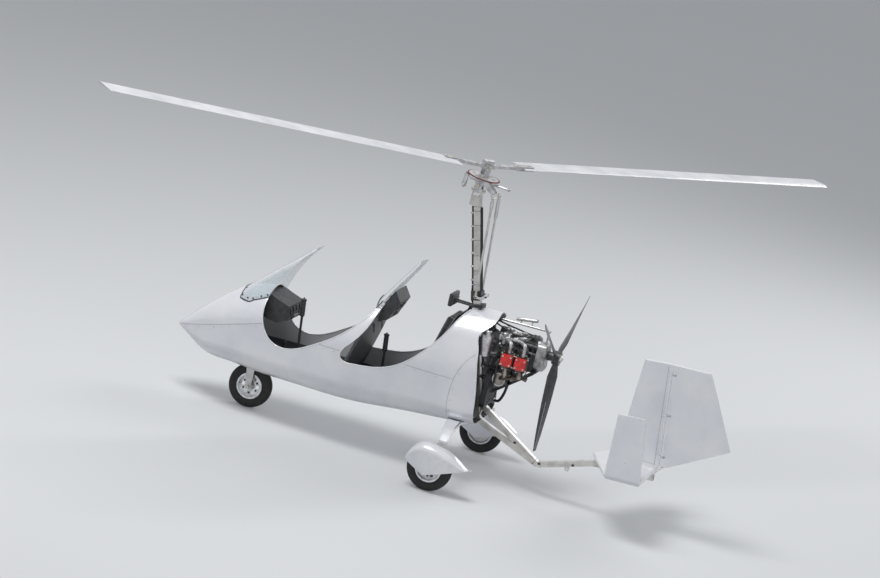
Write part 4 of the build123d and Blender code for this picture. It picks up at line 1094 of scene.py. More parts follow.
dress(black_hose, "prerotator_drive")
heights = [1.72 + 0.115 * number for number in range(6)]
clips = [
    mast_block("clip", (-0.018, -0.017, -0.008), (0.013, 0.017, 0.008), 0.003, on_mast(z, 0.046))
    for z in heights
]
place(joined("drive_clips", *clips), satin_steel)
spots = [(on_mast(z, 0.0585), mast_front) for z in heights]
bolts("drive_clip_bolts", spots, dark_steel, "stainless", 0.0045, 0.004, 0.006)
route = [on_mast(*spot) for spot in (
    (1.672, 0.044), (1.62, 0.048), (1.56, 0.060, -0.02), (1.50, 0.055, -0.055), (1.44, -0.01, -0.075),
    (1.36, -0.10, -0.07),
)]
route += [(-0.30, -0.05, 1.30), (-0.395, -0.02, 1.262)]
place(runs("drive_shaft_lower", [route], 0.0105), black_hose)
LOOM = ((1.60, -0.036, 0.016), (1.9, -0.037, 0.014), (2.15, -0.037, 0.016), (2.34, -0.037, 0.012))
loom = [[on_mast(z, forward, side * left) for z, forward, left in LOOM] for side in (-1, 1)]
place(runs("mast_loom", loom, 0.0058, sides=3), black_hose)
ties = [square_loop(on_mast(z), mast_way, 0.0325) for z in (1.68, 1.80, 1.93, 2.06, 2.19, 2.31)]
place(runs("mast_ties", ties, 0.0016, smooth=False, sides=1), seal)
top_weld = square_loop(on_mast(2.348), mast_way, 0.0315)
place(runs("mast_welds", [top_weld], 0.0030, smooth=False, sides=2), weld)
collar = mast_block("collar", (-0.062, -0.058, -0.012), (0.062, 0.058, 0.012), 0.004, on_mast(1.501))
cover = mast_block("cover", (-0.060, -0.075, -0.055), (-0.030, 0.075, 0.022), 0.008, on_mast(1.485))
place(joined("mast_foot_cover", collar, cover), grained)


# Rotor head: machined alloy and steel fittings on two crossed bolts.
# Satin anodised alloy, plated bolts and a rubber seal on the bearing.
anodised = finish(
    "anodised_alloy", (0.62, 0.62, 0.64), 0.36, 0.95,
    ((24, 5), (0.40, 0.39, 0.38), (0.66, 0.66, 0.68), 0.3, 0.6),
    ((500, 2, (1, 1, 0.05)), 0.28, 0.46), ((500, 2, (1, 1, 0.05)), 0.0002, 0.3),
)
dress(anodised, "roll_block", "pitch_bridge", "rotor_tower", "mixer_bar", edge=0.0014)
dress(powder, "mixer_carriage", "steering_head", "engine_mount", edge=0.0012)
# The ring gear's toothed rim is dark red, its disc bare.
gear_steel = finish("ring_gear_steel", (0.50, 0.44, 0.42), 0.38, 0.9, gloss=((80, 4), 0.28, 0.5))
tree = gear_steel.node_tree
gear_hub = (0.1256, 0, 2.6146)
off_centre = new_node(tree, "ShaderNodeVectorMath", {0: own_place(tree), 1: gear_hub}, operation="DISTANCE")
at_rim = level(tree, off_centre["Value"], 0, 1, 0.132, 0.137)
two_tone = mixed(tree, at_rim, (0.60, 0.59, 0.60), (0.22, 0.055, 0.05))
fill(tree, tree.nodes["Principled BSDF"], {"Base Color": two_tone})
dress(gear_steel, "ring_gear", edge=0.0005)
plated = finish(
    "plated_bolt", (0.66, 0.60, 0.44), 0.3, 1.0,
    stain=((90, 4), (0.50, 0.44, 0.30), (0.72, 0.68, 0.56), 0.3, 0.65), gloss=((200, 3), 0.22, 0.42),
)

TEETER = Vector((0.115, 0, 2.712))
TILT = radians(6.2)
head_up = Vector((-sin(TILT), 0, cos(TILT)))
head_front = Vector((cos(TILT), 0, sin(TILT)))
AZIMUTH = radians(56.1)
blade_way = rays(1, head_front, Y, AZIMUTH)[0].normalized()
bolt_way = head_up.cross(blade_way).normalized()
ENDS = (-1, 1)
HEAD_BOLTS = [
    # name, middle, direction, half length, slot, body, sizes
    ("pitch_bolt_heads", (0.144, 0, 2.536), Y, 0.050, "head_alloy", "roll_block", (0.0125, 0.010, 0.0155)),
    ("roll_bolt_heads", (0.144, 0, 2.488), X, 0.055, "stainless", "airframe", (0.0125, 0.010, 0.0155)),
    ("teeter_bolt_heads", TEETER, bolt_way, 0.046, "head_alloy", "rotor_shaft", (0.0135, 0.010, 0.017)),
]
for name, middle, way, half, slot, body, sizes in HEAD_BOLTS:
    spots = [(Vector(middle) + way * side * half, way * side) for side in ENDS]
    bolts(name, spots, plated, slot, *sizes, body=body)
spots = [(TEETER - head_up * 0.1390 + ray * 0.049, head_up) for ray in rays(6, head_front, Y)]
bolts("bearing_bolts", spots, plated, "head_alloy", 0.0055, 0.005, 0.0068, body="pitch_bridge")
spots = [(TEETER - head_up * 0.0933 + ray * 0.050, head_up) for ray in rays(6, head_front, Y, pi / 6)]
bolts("ring_gear_bolts", spots, plated, "ring_steel", 0.006, 0.005, 0.008, body="rotor_shaft")
SEAL = [
    (0.0165, -0.1125), (0.038, -0.1125), (0.0405, -0.1105), (0.0405, -0.108), (0.0165, -0.1065),
    (0.0165, -0.1125),
]
place(lathe("bearing_seal", SEAL, TEETER, head_up, 48), seal, "pitch_bridge")
# Teeth of the pre-rotator's pinion, and the cap where its drive comes in.
pinion = TEETER + head_front * 0.145
feet = [pinion + ray * 0.0128 for ray in rays(12, head_front, Y)]
teeth = [[foot - head_up * 0.1235, foot - head_up * 0.1105] for foot in feet]
place(runs("pinion_teeth", teeth, 0.0020, smooth=False, sides=1), dark_steel, "pitch_bridge")
DRIVE_CAP = [
    (0, -0.252), (0.011, -0.251), (0.0125, -0.240), (0.0215, -0.236), (0.0235, -0.231), (0.0235, -0.222),
    (0.0215, -0.220),
]
place(lathe("pinion_drive_cap", DRIVE_CAP, pinion, head_up, 36), anodised, "pitch_bridge")


# Control rods: steel tube with a threaded end and a ball eye at each end.
# Plated rod ends, locked by a thin nut.
NUT = [(0.0101, 0.0), (0.0138, 0.0), (0.0145, 0.003), (0.0138, 0.007), (0.0101, 0.007)]
EYE = [
    (0.0130, -0.006), (0.0165, -0.0055), (0.0175, 0), (0.0165, 0.0055), (0.0130, 0.006), (0.0130, -0.006),
]
for name, side in SIDES:
    foot, top = mirrored([(-0.072, 0.100, 1.590), (-0.024, 0.100, 2.470)], side)
    way = (top - foot).normalized()
    ends = []
    for spot, inward in ((foot, way), (top, -way)):
        ends.append(lathe("nut", NUT, spot + inward * 0.024, inward, 6))
        ends.append(lathe("eye", EYE, spot + inward * 0.002, Y, 28))
    place(joined(f"rod_ends_{name}", *ends), plated, f"rod_{name}")


# Hub bar and blade roots: extruded alloy straps, anodised, with a row of bolts.
# The blades are bonded alloy extrusions with pale paint and a bare leading edge.
hub_paint = finish(
    "hub_paint", (0.045, 0.046, 0.05), 0.4, 0.3,
    stain=((40, 5), (0.035, 0.036, 0.04), (0.085, 0.085, 0.09), 0.35, 0.75), relief=((300, 3), 0.0004, 0.3),
)
dress(anodised, "hub_bar", edge=0.0015)
blade_paint = finish(
    "blade_paint", (0.66, 0.67, 0.69), 0.36, 0.25,
    stain=((4, 5), (0.56, 0.57, 0.60), (0.70, 0.705, 0.72), 0.35, 0.65), gloss=((60, 3), 0.28, 0.46),
)
dress(blade_paint, "rotor_blades")
CONE = radians(3.4)
ROOT_BOLTS = (0.345, 0.375, 0.405, 0.43, 0.46, 0.49)
blade_skin = surface_tree("rotor_blades")
for number, sign in enumerate((1, -1)):
    span = (blade_way * sign * cos(CONE) + head_up * sin(CONE)).normalized()
    chord = (head_up.cross(blade_way) * sign).normalized()
    face = span.cross(chord).normalized()
    face *= 1 if face.z > 0 else -1
    spots = [(TEETER + span * at + out * 0.021, out) for out in (face, -face) for at in ROOT_BOLTS]
    bolts(f"blade_bolts_{number}", spots, plated, "hub_black", 0.0075, 0.006, 0.0095, body="rotor")
    spots = [(TEETER + span * at + face * 0.013, face) for at in (0.11, 0.14)]
    bolts(f"hub_bolts_{number}", spots, plated, "hub_black", 0.0075, 0.007, 0.0105, body="rotor")
    # A blade's nose is the edge nearer its bolts; a bare strip wraps it and rivets hold its cuff.
    root = TEETER + span * 0.45
    edges = [on_surface(blade_skin, root + way * 0.28, -way)[0] for way in (chord, -chord)]
    near, far = ((edge - root).length for edge in edges)
    nose = chord * (1 if near < far else -1)
    strip = [TEETER + span * at + nose * 0.0545 for at in (0.42, 1.5, 2.8, 4.19)]
    guard = runs(f"blade_nose_{number}", [strip], 0.0022, smooth=False, sides=3)
    place(guard, satin_steel, "rotor")
    cuff = met(blade_skin, [
        (TEETER + span * at + nose * across + face * 0.1, -face)
        for at in (0.62, 0.66, 0.70) for across in (0.03, 0.0, -0.03, -0.06, -0.09)
    ])
    bolts(f"blade_rivets_{number}", cuff, satin_steel, "rotor_grey", 0.003, 0.0012, 0.004, 10, "rotor")


# Engine: flat four with finned barrels, water-cooled heads and red rocker covers.
# Cast alloy, sand-rough and oily in patches; covers in red wrinkle paint with steel bolts.
dark_cast = finish(
    "dark_cast_alloy", (0.10, 0.10, 0.105), 0.5, 0.7,
    ((22, 6), (0.035, 0.033, 0.03), (0.15, 0.15, 0.155), 0.36, 0.66),
    ((22, 6), 0.28, 0.62), ((320, 4), 0.0007, 0.5),
)
red_paint = finish(
    "red_cover_paint", (0.72, 0.02, 0.02), 0.34, coat=0.4,
    stain=((30, 5), (0.52, 0.012, 0.012), (0.78, 0.025, 0.022), 0.3, 0.6), relief=((520, 3), 0.0005, 0.45),
)
burnt = finish(
    "heat_stained_steel", (0.34, 0.31, 0.29), 0.42, 1.0,
    stain=((9, 4), (0.20, 0.16, 0.16), (0.46, 0.42, 0.36), 0.34, 0.66), gloss=((70, 4), 0.32, 0.6),
)
dress(dark_cast, "engine_block", "cylinders", edge=0.0015)
dress(cast, "gearbox", edge=0.0025)
dress(red_paint, "valve_covers", edge=0.002)
dress(cast, "intake")
dress(burnt, "exhaust")
dress(anodised, "oil_tank", edge=0.002)
CRANK_Z = 1.172
HEADS = [(1, -0.513), (1, -0.639), (-1, -0.532), (-1, -0.658)]
LEADS = [
    # plug's place along the head, top or bottom, first bend, points on the way, end at the coils
    (0.030, 1, (0.006, 0.030), [(0.04, 0.17, 1.305), (0.06, 0.07, 1.338)], (-0.612, 0.030, 1.366)),
    (-0.030, -1, (0.004, -0.025), [(-0.062, 0.26, 1.090), (-0.064, 0.20, 1.20), (-0.05, 0.12, 1.30)],
     (-0.640, 0.028, 1.362)),
]
cover_bolts, head_nuts, leads, plug_caps, fins, head_hoses = ([] for _ in range(6))
for side, x in HEADS:
    crank = Vector((x, 0, CRANK_Z))
    out = Y * side
    cover_bolts += [
        (crank + Vector((dx, side * 0.2942, dz)), out) for dx in (-0.036, 0.036) for dz in (-0.036, 0.036)
    ]
    head_nuts += [(crank + Vector((dx, side * 0.228, 0.0605)), Z) for dx in (-0.044, 0.044)]
    head_nuts += [
        (crank + Vector((dx, side * 0.2582, dz)), out) for dx in (-0.0545, 0.0545) for dz in (-0.052, 0.052)
    ]
    for step in range(11):
        middle = crank + out * (0.1145 + 0.0075 * step)
        half = Vector((0.054, 0.0012, 0.052))
        fins.append(shaped_box("fin", middle - half, middle + half, 0))
    for dx, up, (bend_y, bend_z), between, coil in LEADS:
        foot = crank + Vector((dx, side * 0.246, up * 0.058))
        tip = foot + Vector((0, side * 0.012, up * 0.044))
        plug_caps.append(runs("plug_cap", [[foot, tip]], 0.0085, smooth=False, sides=3))
        between = mirrored([(x + px, py, pz) for px, py, pz in between] + [coil], side)
        leads.append([tip, tip + Vector((0, side * bend_y, bend_z)), *between])
    start = crank + Vector((-0.02, side * 0.212, 0.058))
    tank_end = mirrored([(x - 0.005, 0.15, 1.295), (-0.585, 0.05, 1.30)], side)
    head_hoses.append([start, start + Z * 0.05, *tank_end])
    start = crank + Vector((0.034, side * 0.22, -0.075))
    pump = [(x + 0.06, 0.19, 1.040), (-0.44, 0.13, 1.045), (-0.372, 0.10, 1.03 if side < 0 else 1.05)]
    head_hoses.append([start, start - Z * 0.05, *mirrored(pump, side)])
place(joined("barrel_fins", *fins), dark_cast)
bolts("cover_bolts", cover_bolts, satin_steel, "red_cover", 0.0055, 0.006, 0.0078)
bolts("head_nuts", head_nuts, plated, "engine_alloy", 0.0055, 0.007, 0.0075)
place(joined("plug_caps", *plug_caps), black_hose)
place(runs("plug_leads", leads, 0.0038, sides=2), black_hose)
place(runs("coolant_hoses", head_hoses, 0.0105), black_hose)


def hoop(radius, wall, width):
    """The outline of a plain flat band."""
    outer, half = radius + wall, width / 2
    return [(radius, -half), (outer, -half), (outer, half), (radius, half), (radius, -half)]


def clamp(centre, way, radius, width=0.009):
    """A worm-drive hose clamp: a band with its screw housing."""
    way = Vector(way).normalized()
    side = way.orthogonal().normalized()
    spot = Vector(centre) + side * (radius + 0.003)
    half = side.cross(way) * 0.009
    screw = runs("screw", [[spot - half, spot + half]], 0.0032, smooth=False, sides=2)
    return joined("clamp", lathe("hoop", hoop(radius, 0.0012, width), centre, way, 24), screw)


clamps = [clamp(start.lerp(after, 0.3), after - start, 0.0105) for start, after, *_ in head_hoses]
place(joined("hose_clamps", *clamps), satin_steel)


# Top of the engine: coolant header tank, two coil boxes, the wiring loom, lines and fuel pump.
# Tank with a pressure cap; potted coils on a plate; loom in black sleeving.
TANK = [(0, -0.062), (0.030, -0.060), (0.036, -0.048), (0.036, 0.048), (0.030, 0.060), (0, 0.062)]
NECK = [(0.016, 0.0), (0.016, 0.012), (0.024, 0.014), (0.024, 0.026), (0.018, 0.031), (0, 0.032)]
tank = lathe("header_tank", TANK, (-0.575, 0, 1.325), X, 40)
neck = lathe("tank_neck", NECK, (-0.555, 0, 1.357), Z, 24)
place(joined("header_tank", tank, neck), cast)
coils = [
    shaped_box("coil", (x - 0.013, -0.055, 1.346), (x + 0.013, 0.055, 1.384), 0.004)
    for x in (-0.640, -0.672)
]
rail = shaped_box("coil_plate", (-0.695, -0.065, 1.3425), (-0.615, 0.065, 1.3465), 0.001)
place(joined("coil_boxes", rail, *coils), grained)
LOOM = [
    [(-0.655, 0.05, 1.37), (-0.60, 0.085, 1.375), (-0.50, 0.09, 1.365), (-0.40, 0.06, 1.38),
     (-0.26, 0.04, 1.42), (-0.17, 0.03, 1.44)],
    [(-0.655, -0.05, 1.37), (-0.58, -0.09, 1.36), (-0.48, -0.075, 1.38), (-0.36, -0.05, 1.40),
     (-0.22, -0.035, 1.43), (-0.14, -0.02, 1.46)],
    [(-0.43, 0.02, 1.246), (-0.36, 0.04, 1.26), (-0.30, 0.05, 1.33), (-0.23, 0.045, 1.38),
     (-0.16, 0.03, 1.45)],
]
place(runs("engine_loom", LOOM, 0.0070, sides=3), black_hose)
THROTTLE = [
    (-0.425, 0.135, 1.335), (-0.37, 0.15, 1.36), (-0.29, 0.13, 1.40), (-0.20, 0.08, 1.43),
    (-0.14, 0.035, 1.47),
]
FUEL = [
    (-0.42, 0.112, 1.262), (-0.37, 0.13, 1.23), (-0.31, 0.15, 1.20), (-0.27, 0.14, 1.10), (-0.28, 0.10, 0.98),
]
routes = [mirrored(line, side) for side in (-1, 1) for line in (THROTTLE, FUEL)]
place(runs("throttle_and_fuel_lines", routes, 0.0035, sides=2), black_hose)
PUMP = [
    (0, -0.035), (0.018, -0.034), (0.020, -0.028), (0.020, 0.028), (0.012, 0.033), (0.006, 0.045), (0, 0.045),
]
place(lathe("fuel_pump", PUMP, (-0.285, 0.12, 1.05), Z, 28), anodised)


# Carburettors and air filters: one of each on either side, with a wire clip and pleats.
# Cast bodies, a wire bail under each float bowl and grey cotton pleats.
pleats = patterned(
    "filter_cotton", (0.11, 0.11, 0.12), 0.8, 0.0, [(40, "Z", 0.0)],
    (0.045, 0.045, 0.05), (0.22, 0.22, 0.23), 0.003, 0.7,
)
FILTER = [(0.0, 0.0), (0.040, 0.0005), (0.0425, 0.003), (0.0425, 0.010)]
FILTER += [(0.0412 if number % 2 else 0.0436, 0.0115 + 0.0018 * number) for number in range(22)]
FILTER += [(0.0425, 0.053), (0.0425, 0.060), (0.038, 0.064), (0, 0.0645)]
CARB_TOP = [(0.0, 0.050), (0.019, 0.049), (0.025, 0.043), (0.0265, 0.030), (0.0265, 0.024), (0.0, 0.024)]
for name, side in SIDES[::-1]:
    y = side * 0.112
    place(lathe(f"air_filter_{name}", FILTER, (-0.381, y, 1.318), X, 40), pleats)
    top = lathe("carb_top", CARB_TOP, (-0.416, y, 1.318), Z, 30)
    lever = y + side * 0.0265
    arm = shaped_box("carb_lever", (-0.424, lever - 0.002, 1.306), (-0.408, lever + 0.002, 1.346), 0.0015)
    wire = [
        (-0.416, y + dy, z) for dy, z in ((-0.026, 1.310), (-0.026, 1.262), (0.026, 1.262), (0.026, 1.310))
    ]
    bail = runs("bowl_bail", [wire], 0.0014, smooth=False, sides=1)
    place(joined(f"carb_fittings_{name}", top, arm, bail), cast)
    clamps = [clamp((-0.4600, y, 1.318), X, 0.0275), clamp((-0.384, y, 1.318), X, 0.0428)]
    place(joined(f"carb_clamps_{name}", *clamps), satin_steel)


# Case fittings: starter, oil filter, ribs and bolts of the generator cover, and the gearbox bolts.
# Painted steel canister, ribbed alloy cover and a black starter.
STARTER = [
    (0, -0.075), (0.024, -0.073), (0.031, -0.066), (0.031, 0.040), (0.026, 0.046), (0.026, 0.062),
    (0.018, 0.066), (0, 0.066),
]
place(lathe("starter", STARTER, (-0.640, 0.060, 1.296), X, 36), powder)
CANISTER = [
    (0, 0.0), (0.036, 0.0), (0.0375, 0.004), (0.0375, 0.066), (0.034, 0.072), (0.026, 0.074), (0, 0.074),
]
oil_filter = lathe("oil_filter", CANISTER, (-0.466, -0.088, 1.116), (0.35, -0.35, -0.85), 40)
place(oil_filter, hub_paint)
middle = Vector((-0.3695, 0, CRANK_Z))
ribs = [[middle + ray * 0.018, middle + ray * 0.068] for ray in rays(12, Y, Z)]
place(runs("generator_ribs", ribs, 0.0034, smooth=False, sides=2), cast)
spots = [(middle - X * 0.0002 + ray * 0.069, X) for ray in rays(8, Y, Z)]
bolts("generator_bolts", spots, satin_steel, "engine_alloy", 0.0045, 0.005, 0.006)
GEARBOX_BOLTS = [
    (-0.082, 1.14), (-0.082, 1.20), (-0.082, 1.26), (-0.082, 1.31), (-0.04, 1.333), (0.04, 1.333),
    (0.082, 1.31), (0.082, 1.26), (0.082, 1.20), (0.082, 1.14), (-0.04, 1.117), (0.04, 1.117),
]
spots = [((-0.7903, y, z), -X) for y, z in GEARBOX_BOLTS]
bolts("gearbox_bolts", spots, satin_steel, "engine_alloy", 0.0055, 0.006, 0.0075)
FLANGE = [(0.062, 0.0), (0.090, 0.0), (0.094, 0.004), (0.094, 0.007), (0.074, 0.010), (0.0625, 0.010)]
flange = lathe("gearbox_flange", FLANGE, (-0.7898, 0, 1.250), -X, 48)
plug = lathe("gearbox_plug", [(0, 0.008), (0.009, 0.007), (0.011, 0.0)], (-0.7903, 0.0, 1.145), -X, 6)
place(joined("gearbox_flange", flange, plug), cast)


# Exhaust fittings: slip joints held by springs, and bands round the silencer.
# Stainless, heat stained near the ports; springs are plain music wire.
PORT = [(0.0175, 0), (0.027, 0), (0.028, 0.003), (0.027, 0.006), (0.0175, 0.006)]
CUFF = [(0.0175, 0), (0.0205, 0.001), (0.0205, 0.034), (0.0175, 0.035)]
springs, sleeves = [], []
for side, x in HEADS:
    port = Vector((x, side * 0.226, CRANK_Z))
    for around in ENDS:
        top = port + Vector((around * 0.021, 0, -0.084))
        foot = top - Z * 0.055
        turns = [(0.14 + 0.72 * step / 90, step * 0.7) for step in range(91)]
        coil = [top.lerp(foot, share) + rays(1, X, Y, turn)[0] * 0.0042 for share, turn in turns]
        springs.append([top, *coil, foot])
    sleeves += [lathe("flange", PORT, port - Z * 0.0835, Z, 30), lathe("cuff", CUFF, port - Z * 0.143, Z, 30)]
place(runs("exhaust_springs", springs, 0.0008, smooth=False, sides=1), satin_steel)
place(joined("exhaust_flanges", *sleeves), burnt)
RIM = [(0.050, 0.0), (0.0595, 0.0), (0.061, 0.003), (0.0595, 0.006), (0.050, 0.004)]
hoops = [lathe("hoop", hoop(0.0582, 0.0018, 0.016), (-0.456, y, 0.955), Y, 60) for y in (-0.115, 0.0, 0.115)]
hoops += [lathe("end_rim", RIM, (-0.456, side * 0.149, 0.955), Y * side, 60) for side in ENDS]
place(joined("silencer_bands", *hoops), satin_steel)


# Radiator, oil lines and engine tray: a brazed core behind the body and a folded sheet below.
# Thin alloy tubes with folded fins between them; black painted; the tray is riveted sheet, its black partly
# painted shade for the shadow under the engine.
core = patterned(
    "radiator_core", (0.03, 0.03, 0.032), 0.5, 0.5, [(32, "Z", 0.0), (150, "Y", 0.0)],
    (0.016, 0.016, 0.018), (0.11, 0.11, 0.12), 0.003, 0.7,
)
dress(core, "radiator", edge=0.002)
sheet_black = finish(
    "black_sheet", (0.035, 0.035, 0.038), 0.45, 0.5,
    stain=((12, 6), (0.02, 0.02, 0.022), (0.08, 0.08, 0.085), 0.35, 0.7), gloss=((50, 4), 0.3, 0.6),
)
dress(sheet_black, "firewall")
# The tray's black powder coat is partly painted shade, standing in for the shadow under the engine.
dress(powder, "engine_tray", edge=0.0012)
frames = []
for x in (-0.3865, -0.3395):
    for y in (-0.172, 0.172):
        low, high = (x - 0.003, y - 0.008, 0.702), (x + 0.003, y + 0.008, 0.990)
        frames.append(shaped_box("radiator_side", low, high, 0.0015))
place(joined("radiator_frame", *frames), powder)
OIL_AND_WATER = [
    [(-0.29, 0.218, 1.15), (-0.29, 0.215, 1.10), (-0.32, 0.19, 1.04), (-0.39, 0.12, 1.045),
     (-0.44, 0.08, 1.075)],
    [(-0.29, 0.190, 1.345), (-0.295, 0.15, 1.38), (-0.34, 0.10, 1.36), (-0.40, 0.07, 1.30),
     (-0.44, 0.05, 1.255)],
    [(-0.363, 0.12, 1.04), (-0.365, 0.12, 1.10), (-0.40, 0.10, 1.16), (-0.45, 0.06, 1.25),
     (-0.53, 0.02, 1.30)],
    [(-0.372, -0.15, 0.70), (-0.42, -0.15, 0.66), (-0.47, -0.12, 0.76), (-0.50, -0.06, 0.90),
     (-0.52, 0.0, 1.075)],
]
LINE_RADIUS = 0.0125
place(runs("oil_and_water_lines", OIL_AND_WATER, LINE_RADIUS), black_hose)
fittings = []
for share, order in ((0.25, 1), (0.2, -1)):
    for line in OIL_AND_WATER:
        end, after = (Vector(spot) for spot in line[::order][:2])
        fittings.append(clamp(end.lerp(after, share), after - end, LINE_RADIUS))
fittings += [lathe("strap", hoop(0.0552, 0.0014, 0.018), (-0.290, 0.218, z), Z, 48) for z in (1.18, 1.30)]
TANK_CAP = [(0, 0.020), (0.020, 0.018), (0.026, 0.012), (0.026, 0.0), (0, 0)]
fittings.append(lathe("oil_cap", TANK_CAP, (-0.290, 0.218, 1.352), Z, 20))
place(joined("line_clamps_and_straps", *fittings), satin_steel)
TRAY_FRONT, TRAY_REAR = Vector((-0.436, 0, 0.842)), Vector((-0.740, 0, 1.0875))
TRAY_OUT = Vector((0.627, 0, 0.779))
rivets = [
    (TRAY_FRONT.lerp(TRAY_REAR, number / 8) + Y * y, TRAY_OUT) for number in range(9) for y in (-0.166, 0.166)
]
bolts("tray_rivets", rivets, satin_steel, "black_sheet", 0.0035, 0.0018, 0.0045, 10)
# The tray's edge lips are black as painted shade under the engine, as well as for the tray's own dark edge.
shaded_tray_lips = [[(-0.431, y, 0.836), (-0.749, y, 1.0915)] for y in (-0.176, 0.176)]
shaded_tray_lips += [[(-0.410, -0.176, 0.8345), (-0.410, 0.176, 0.8345)]]
place(runs("tray_edge_painted_shade", shaded_tray_lips, 0.0042, smooth=False, sides=3), powder)


# Engine mount: bright tubes from the mast, and a short breather pipe on two posts above the engine.
# Satin stainless tube; the pipe has a clamp on each post and a rolled lip at each end.
dress(satin_steel, "engine_mount", edge=0.001)
saddles = [clamp((x, 0, z), (-1, 0, 0.16), 0.0152, 0.012) for x, z in ((-0.500, 1.493), (-0.600, 1.5095))]
PIPE_LIP = [(0.0105, -0.003), (0.0155, -0.003), (0.0165, 0), (0.0155, 0.003), (0.0105, 0.003)]
tips = [
    lathe("pipe_lip", PIPE_LIP, spot, (-0.987, 0, 0.162), 28)
    for spot in ((-0.457, 0, 1.486), (-0.640, 0, 1.516))
]
place(joined("top_pipe_saddles", *saddles, *tips), satin_steel)


# Propeller: three moulded composite blades clamped in an alloy hub.
# Black gel coat with a nickel strip on the leading edge; bolts on both faces, a small spinner.
carbon = finish(
    "blade_composite", (0.028, 0.028, 0.03), 0.3, coat=0.35,
    stain=((20, 5), (0.018, 0.018, 0.02), (0.05, 0.05, 0.053), 0.35, 0.7), gloss=((60, 4), 0.24, 0.46),
)
dress(carbon, "propeller_blades", edge=0.0012)
dress(hub_paint, "propeller_hub", edge=0.002)
PROP = Vector((-0.880, 0, 1.250))
spots = [(PROP - X * 0.0322 + ray * 0.044, -X) for ray in rays(6, Y, Z)]
spots += [(PROP + X * 0.0302 + ray * 0.054, X) for ray in rays(6, Y, Z, pi / 6)]
bolts("propeller_bolts", spots, plated, "hub_black", 0.0055, 0.007, 0.0075, body="propeller")
SPINNER = [(0.030, 0.0), (0.0295, 0.006), (0.026, 0.014), (0.020, 0.020), (0.011, 0.024), (0.0, 0.0255)]
place(lathe("spinner", SPINNER, PROP - X * 0.0318, -X, 48), satin_steel, "propeller")
prop_skin = surface_tree("propeller_blades")
strips = []
for ray in rays(3, Z, -Y, radians(-60))[:2] + [-Z]:
    across = X.cross(ray)
    edge = []
    for step in range(9):
        at = PROP + ray * (0.40 + 0.055 * step) + across * 0.12
        tries = [(at + X * dx, -across) for dx in (0, -0.02, -0.01, 0.01, 0.02)]
        edge += [spot for spot, _ in met(prop_skin, tries)[:1]]
    strips.append(edge)
strip = runs("blade_edge_strips", strips, 0.0018, smooth=False, sides=2)
place(strip, satin_steel, "propeller")


# Tail: bonded composite surfaces with seams, hinge bolts, screws and two rudder cables.
# The cables run under the boom through nylon guides to the horn below the rudder.
HINGE_LOW, HINGE_TOP = Vector((-2.006, 0, 0.602)), Vector((-1.916, 0, 1.494))
hinge_way = (HINGE_TOP - HINGE_LOW).normalized()
spots = []
for height in (0.080, 0.450, 0.810):
    spots += [(HINGE_LOW + hinge_way * (height + side * 0.0062), hinge_way * side) for side in (1, -1)]
bolts("hinge_bolts", spots, satin_steel, "pearl_white", 0.0075, 0.003, 0.010)
fin_skin, side_fin_skin = surface_tree("fin"), surface_tree("side_fins")
screws, seam_lines = [], []
for side in (1, -1):
    hinge = [
        HINGE_LOW + hinge_way * height + Vector((0.052, side * 0.3, 0))
        for height in (0.10, 0.43, 0.47, 0.79, 0.83)
    ]
    screws += met(fin_skin, [(spot, Y * -side) for spot in hinge])
    screws += met(side_fin_skin, [((-1.80, side * 0.9, z), Y * -side) for z in (0.62, 0.70)])
    rear = [(-1.942 + 0.084 * step / 23, side * 0.3, 0.600 + 0.880 * step / 23) for step in range(24)]
    base = [(-1.62 - 0.33 * step / 19, side * 0.3, 0.600) for step in range(20)]
    seam_lines += [met(fin_skin, [(spot, Y * -side) for spot in line]) for line in (rear, base)]
bolts("tail_screws", screws, satin_steel, "pearl_white", *SMALL_SCREW)
seams = [ribbon("seam", line, 0.002, 0.0004) for line in seam_lines]
place(joined("fin_seams", *seams), seal)
horn = HINGE_LOW - hinge_way * 0.016 - X * 0.004
spots = [(horn + Vector((0, side * 0.066, up * 0.0032)), Z * up) for up in (1, -1) for side in ENDS]
bolts("horn_bolts", spots, plated, "pearl_white", 0.0055, 0.004, 0.007, body="rudder")
CABLE = [
    (-2.006, 0.064, 0.580), (-1.99, 0.062, 0.560), (-1.95, 0.052, 0.500), (-1.86, 0.036, 0.450),
    (-1.60, 0.032, 0.440), (-1.425, 0.032, 0.428), (-1.10, 0.032, 0.330), (-0.955, 0.033, 0.300),
    (-0.80, 0.034, 0.360), (-0.55, 0.034, 0.505), (-0.37, 0.036, 0.600), (-0.30, 0.045, 0.560),
]
cables = [mirrored(CABLE, side) for side in ENDS]
place(runs("rudder_cables", cables, 0.0016, sides=1), satin_steel)
guides = []
for x, z in ((-1.86, 0.450), (-1.60, 0.440), (-1.25, 0.376), (-0.955, 0.300), (-0.70, 0.418)):
    guides.append(shaped_box("guide", (x - 0.012, -0.040, z - 0.008), (x + 0.012, 0.040, z + 0.008), 0.003))
place(joined("cable_guides", *guides), grained)


# Wheel well: a shallow round pan bonded over the hole in the belly, which closes the cockpit's floor.
# Black moulded composite, 3 mm thick; its rim follows the skin and the steering stem comes up
# through its roof.
WELL_CENTRE = Vector((1.810, 0, 0))
WELL_ROOF = 0.474
WELL_RADIUS = 0.177
WELL_WALL = 0.003
ways = rays(72, X, Y)
rims = [on_surface(body_skin, WELL_CENTRE + way * WELL_RADIUS + Z * 0.2, Z)[0].z + 0.002 for way in ways]
roof, ceiling = [WELL_ROOF] * 72, [WELL_ROOF - WELL_WALL] * 72
shape = bmesh.new()
rings = []
for radius, heights in (
    (WELL_RADIUS, rims), (WELL_RADIUS, roof), (0.024, roof), (0.024, ceiling),
    (WELL_RADIUS - WELL_WALL, ceiling), (WELL_RADIUS - WELL_WALL, rims),
):
    rings.append([
        shape.verts.new(WELL_CENTRE + way * radius + Z * height) for way, height in zip(ways, heights)
    ])
skinned(shape, rings + rings[:1])
place(built(shape, "wheel_well"), grained)


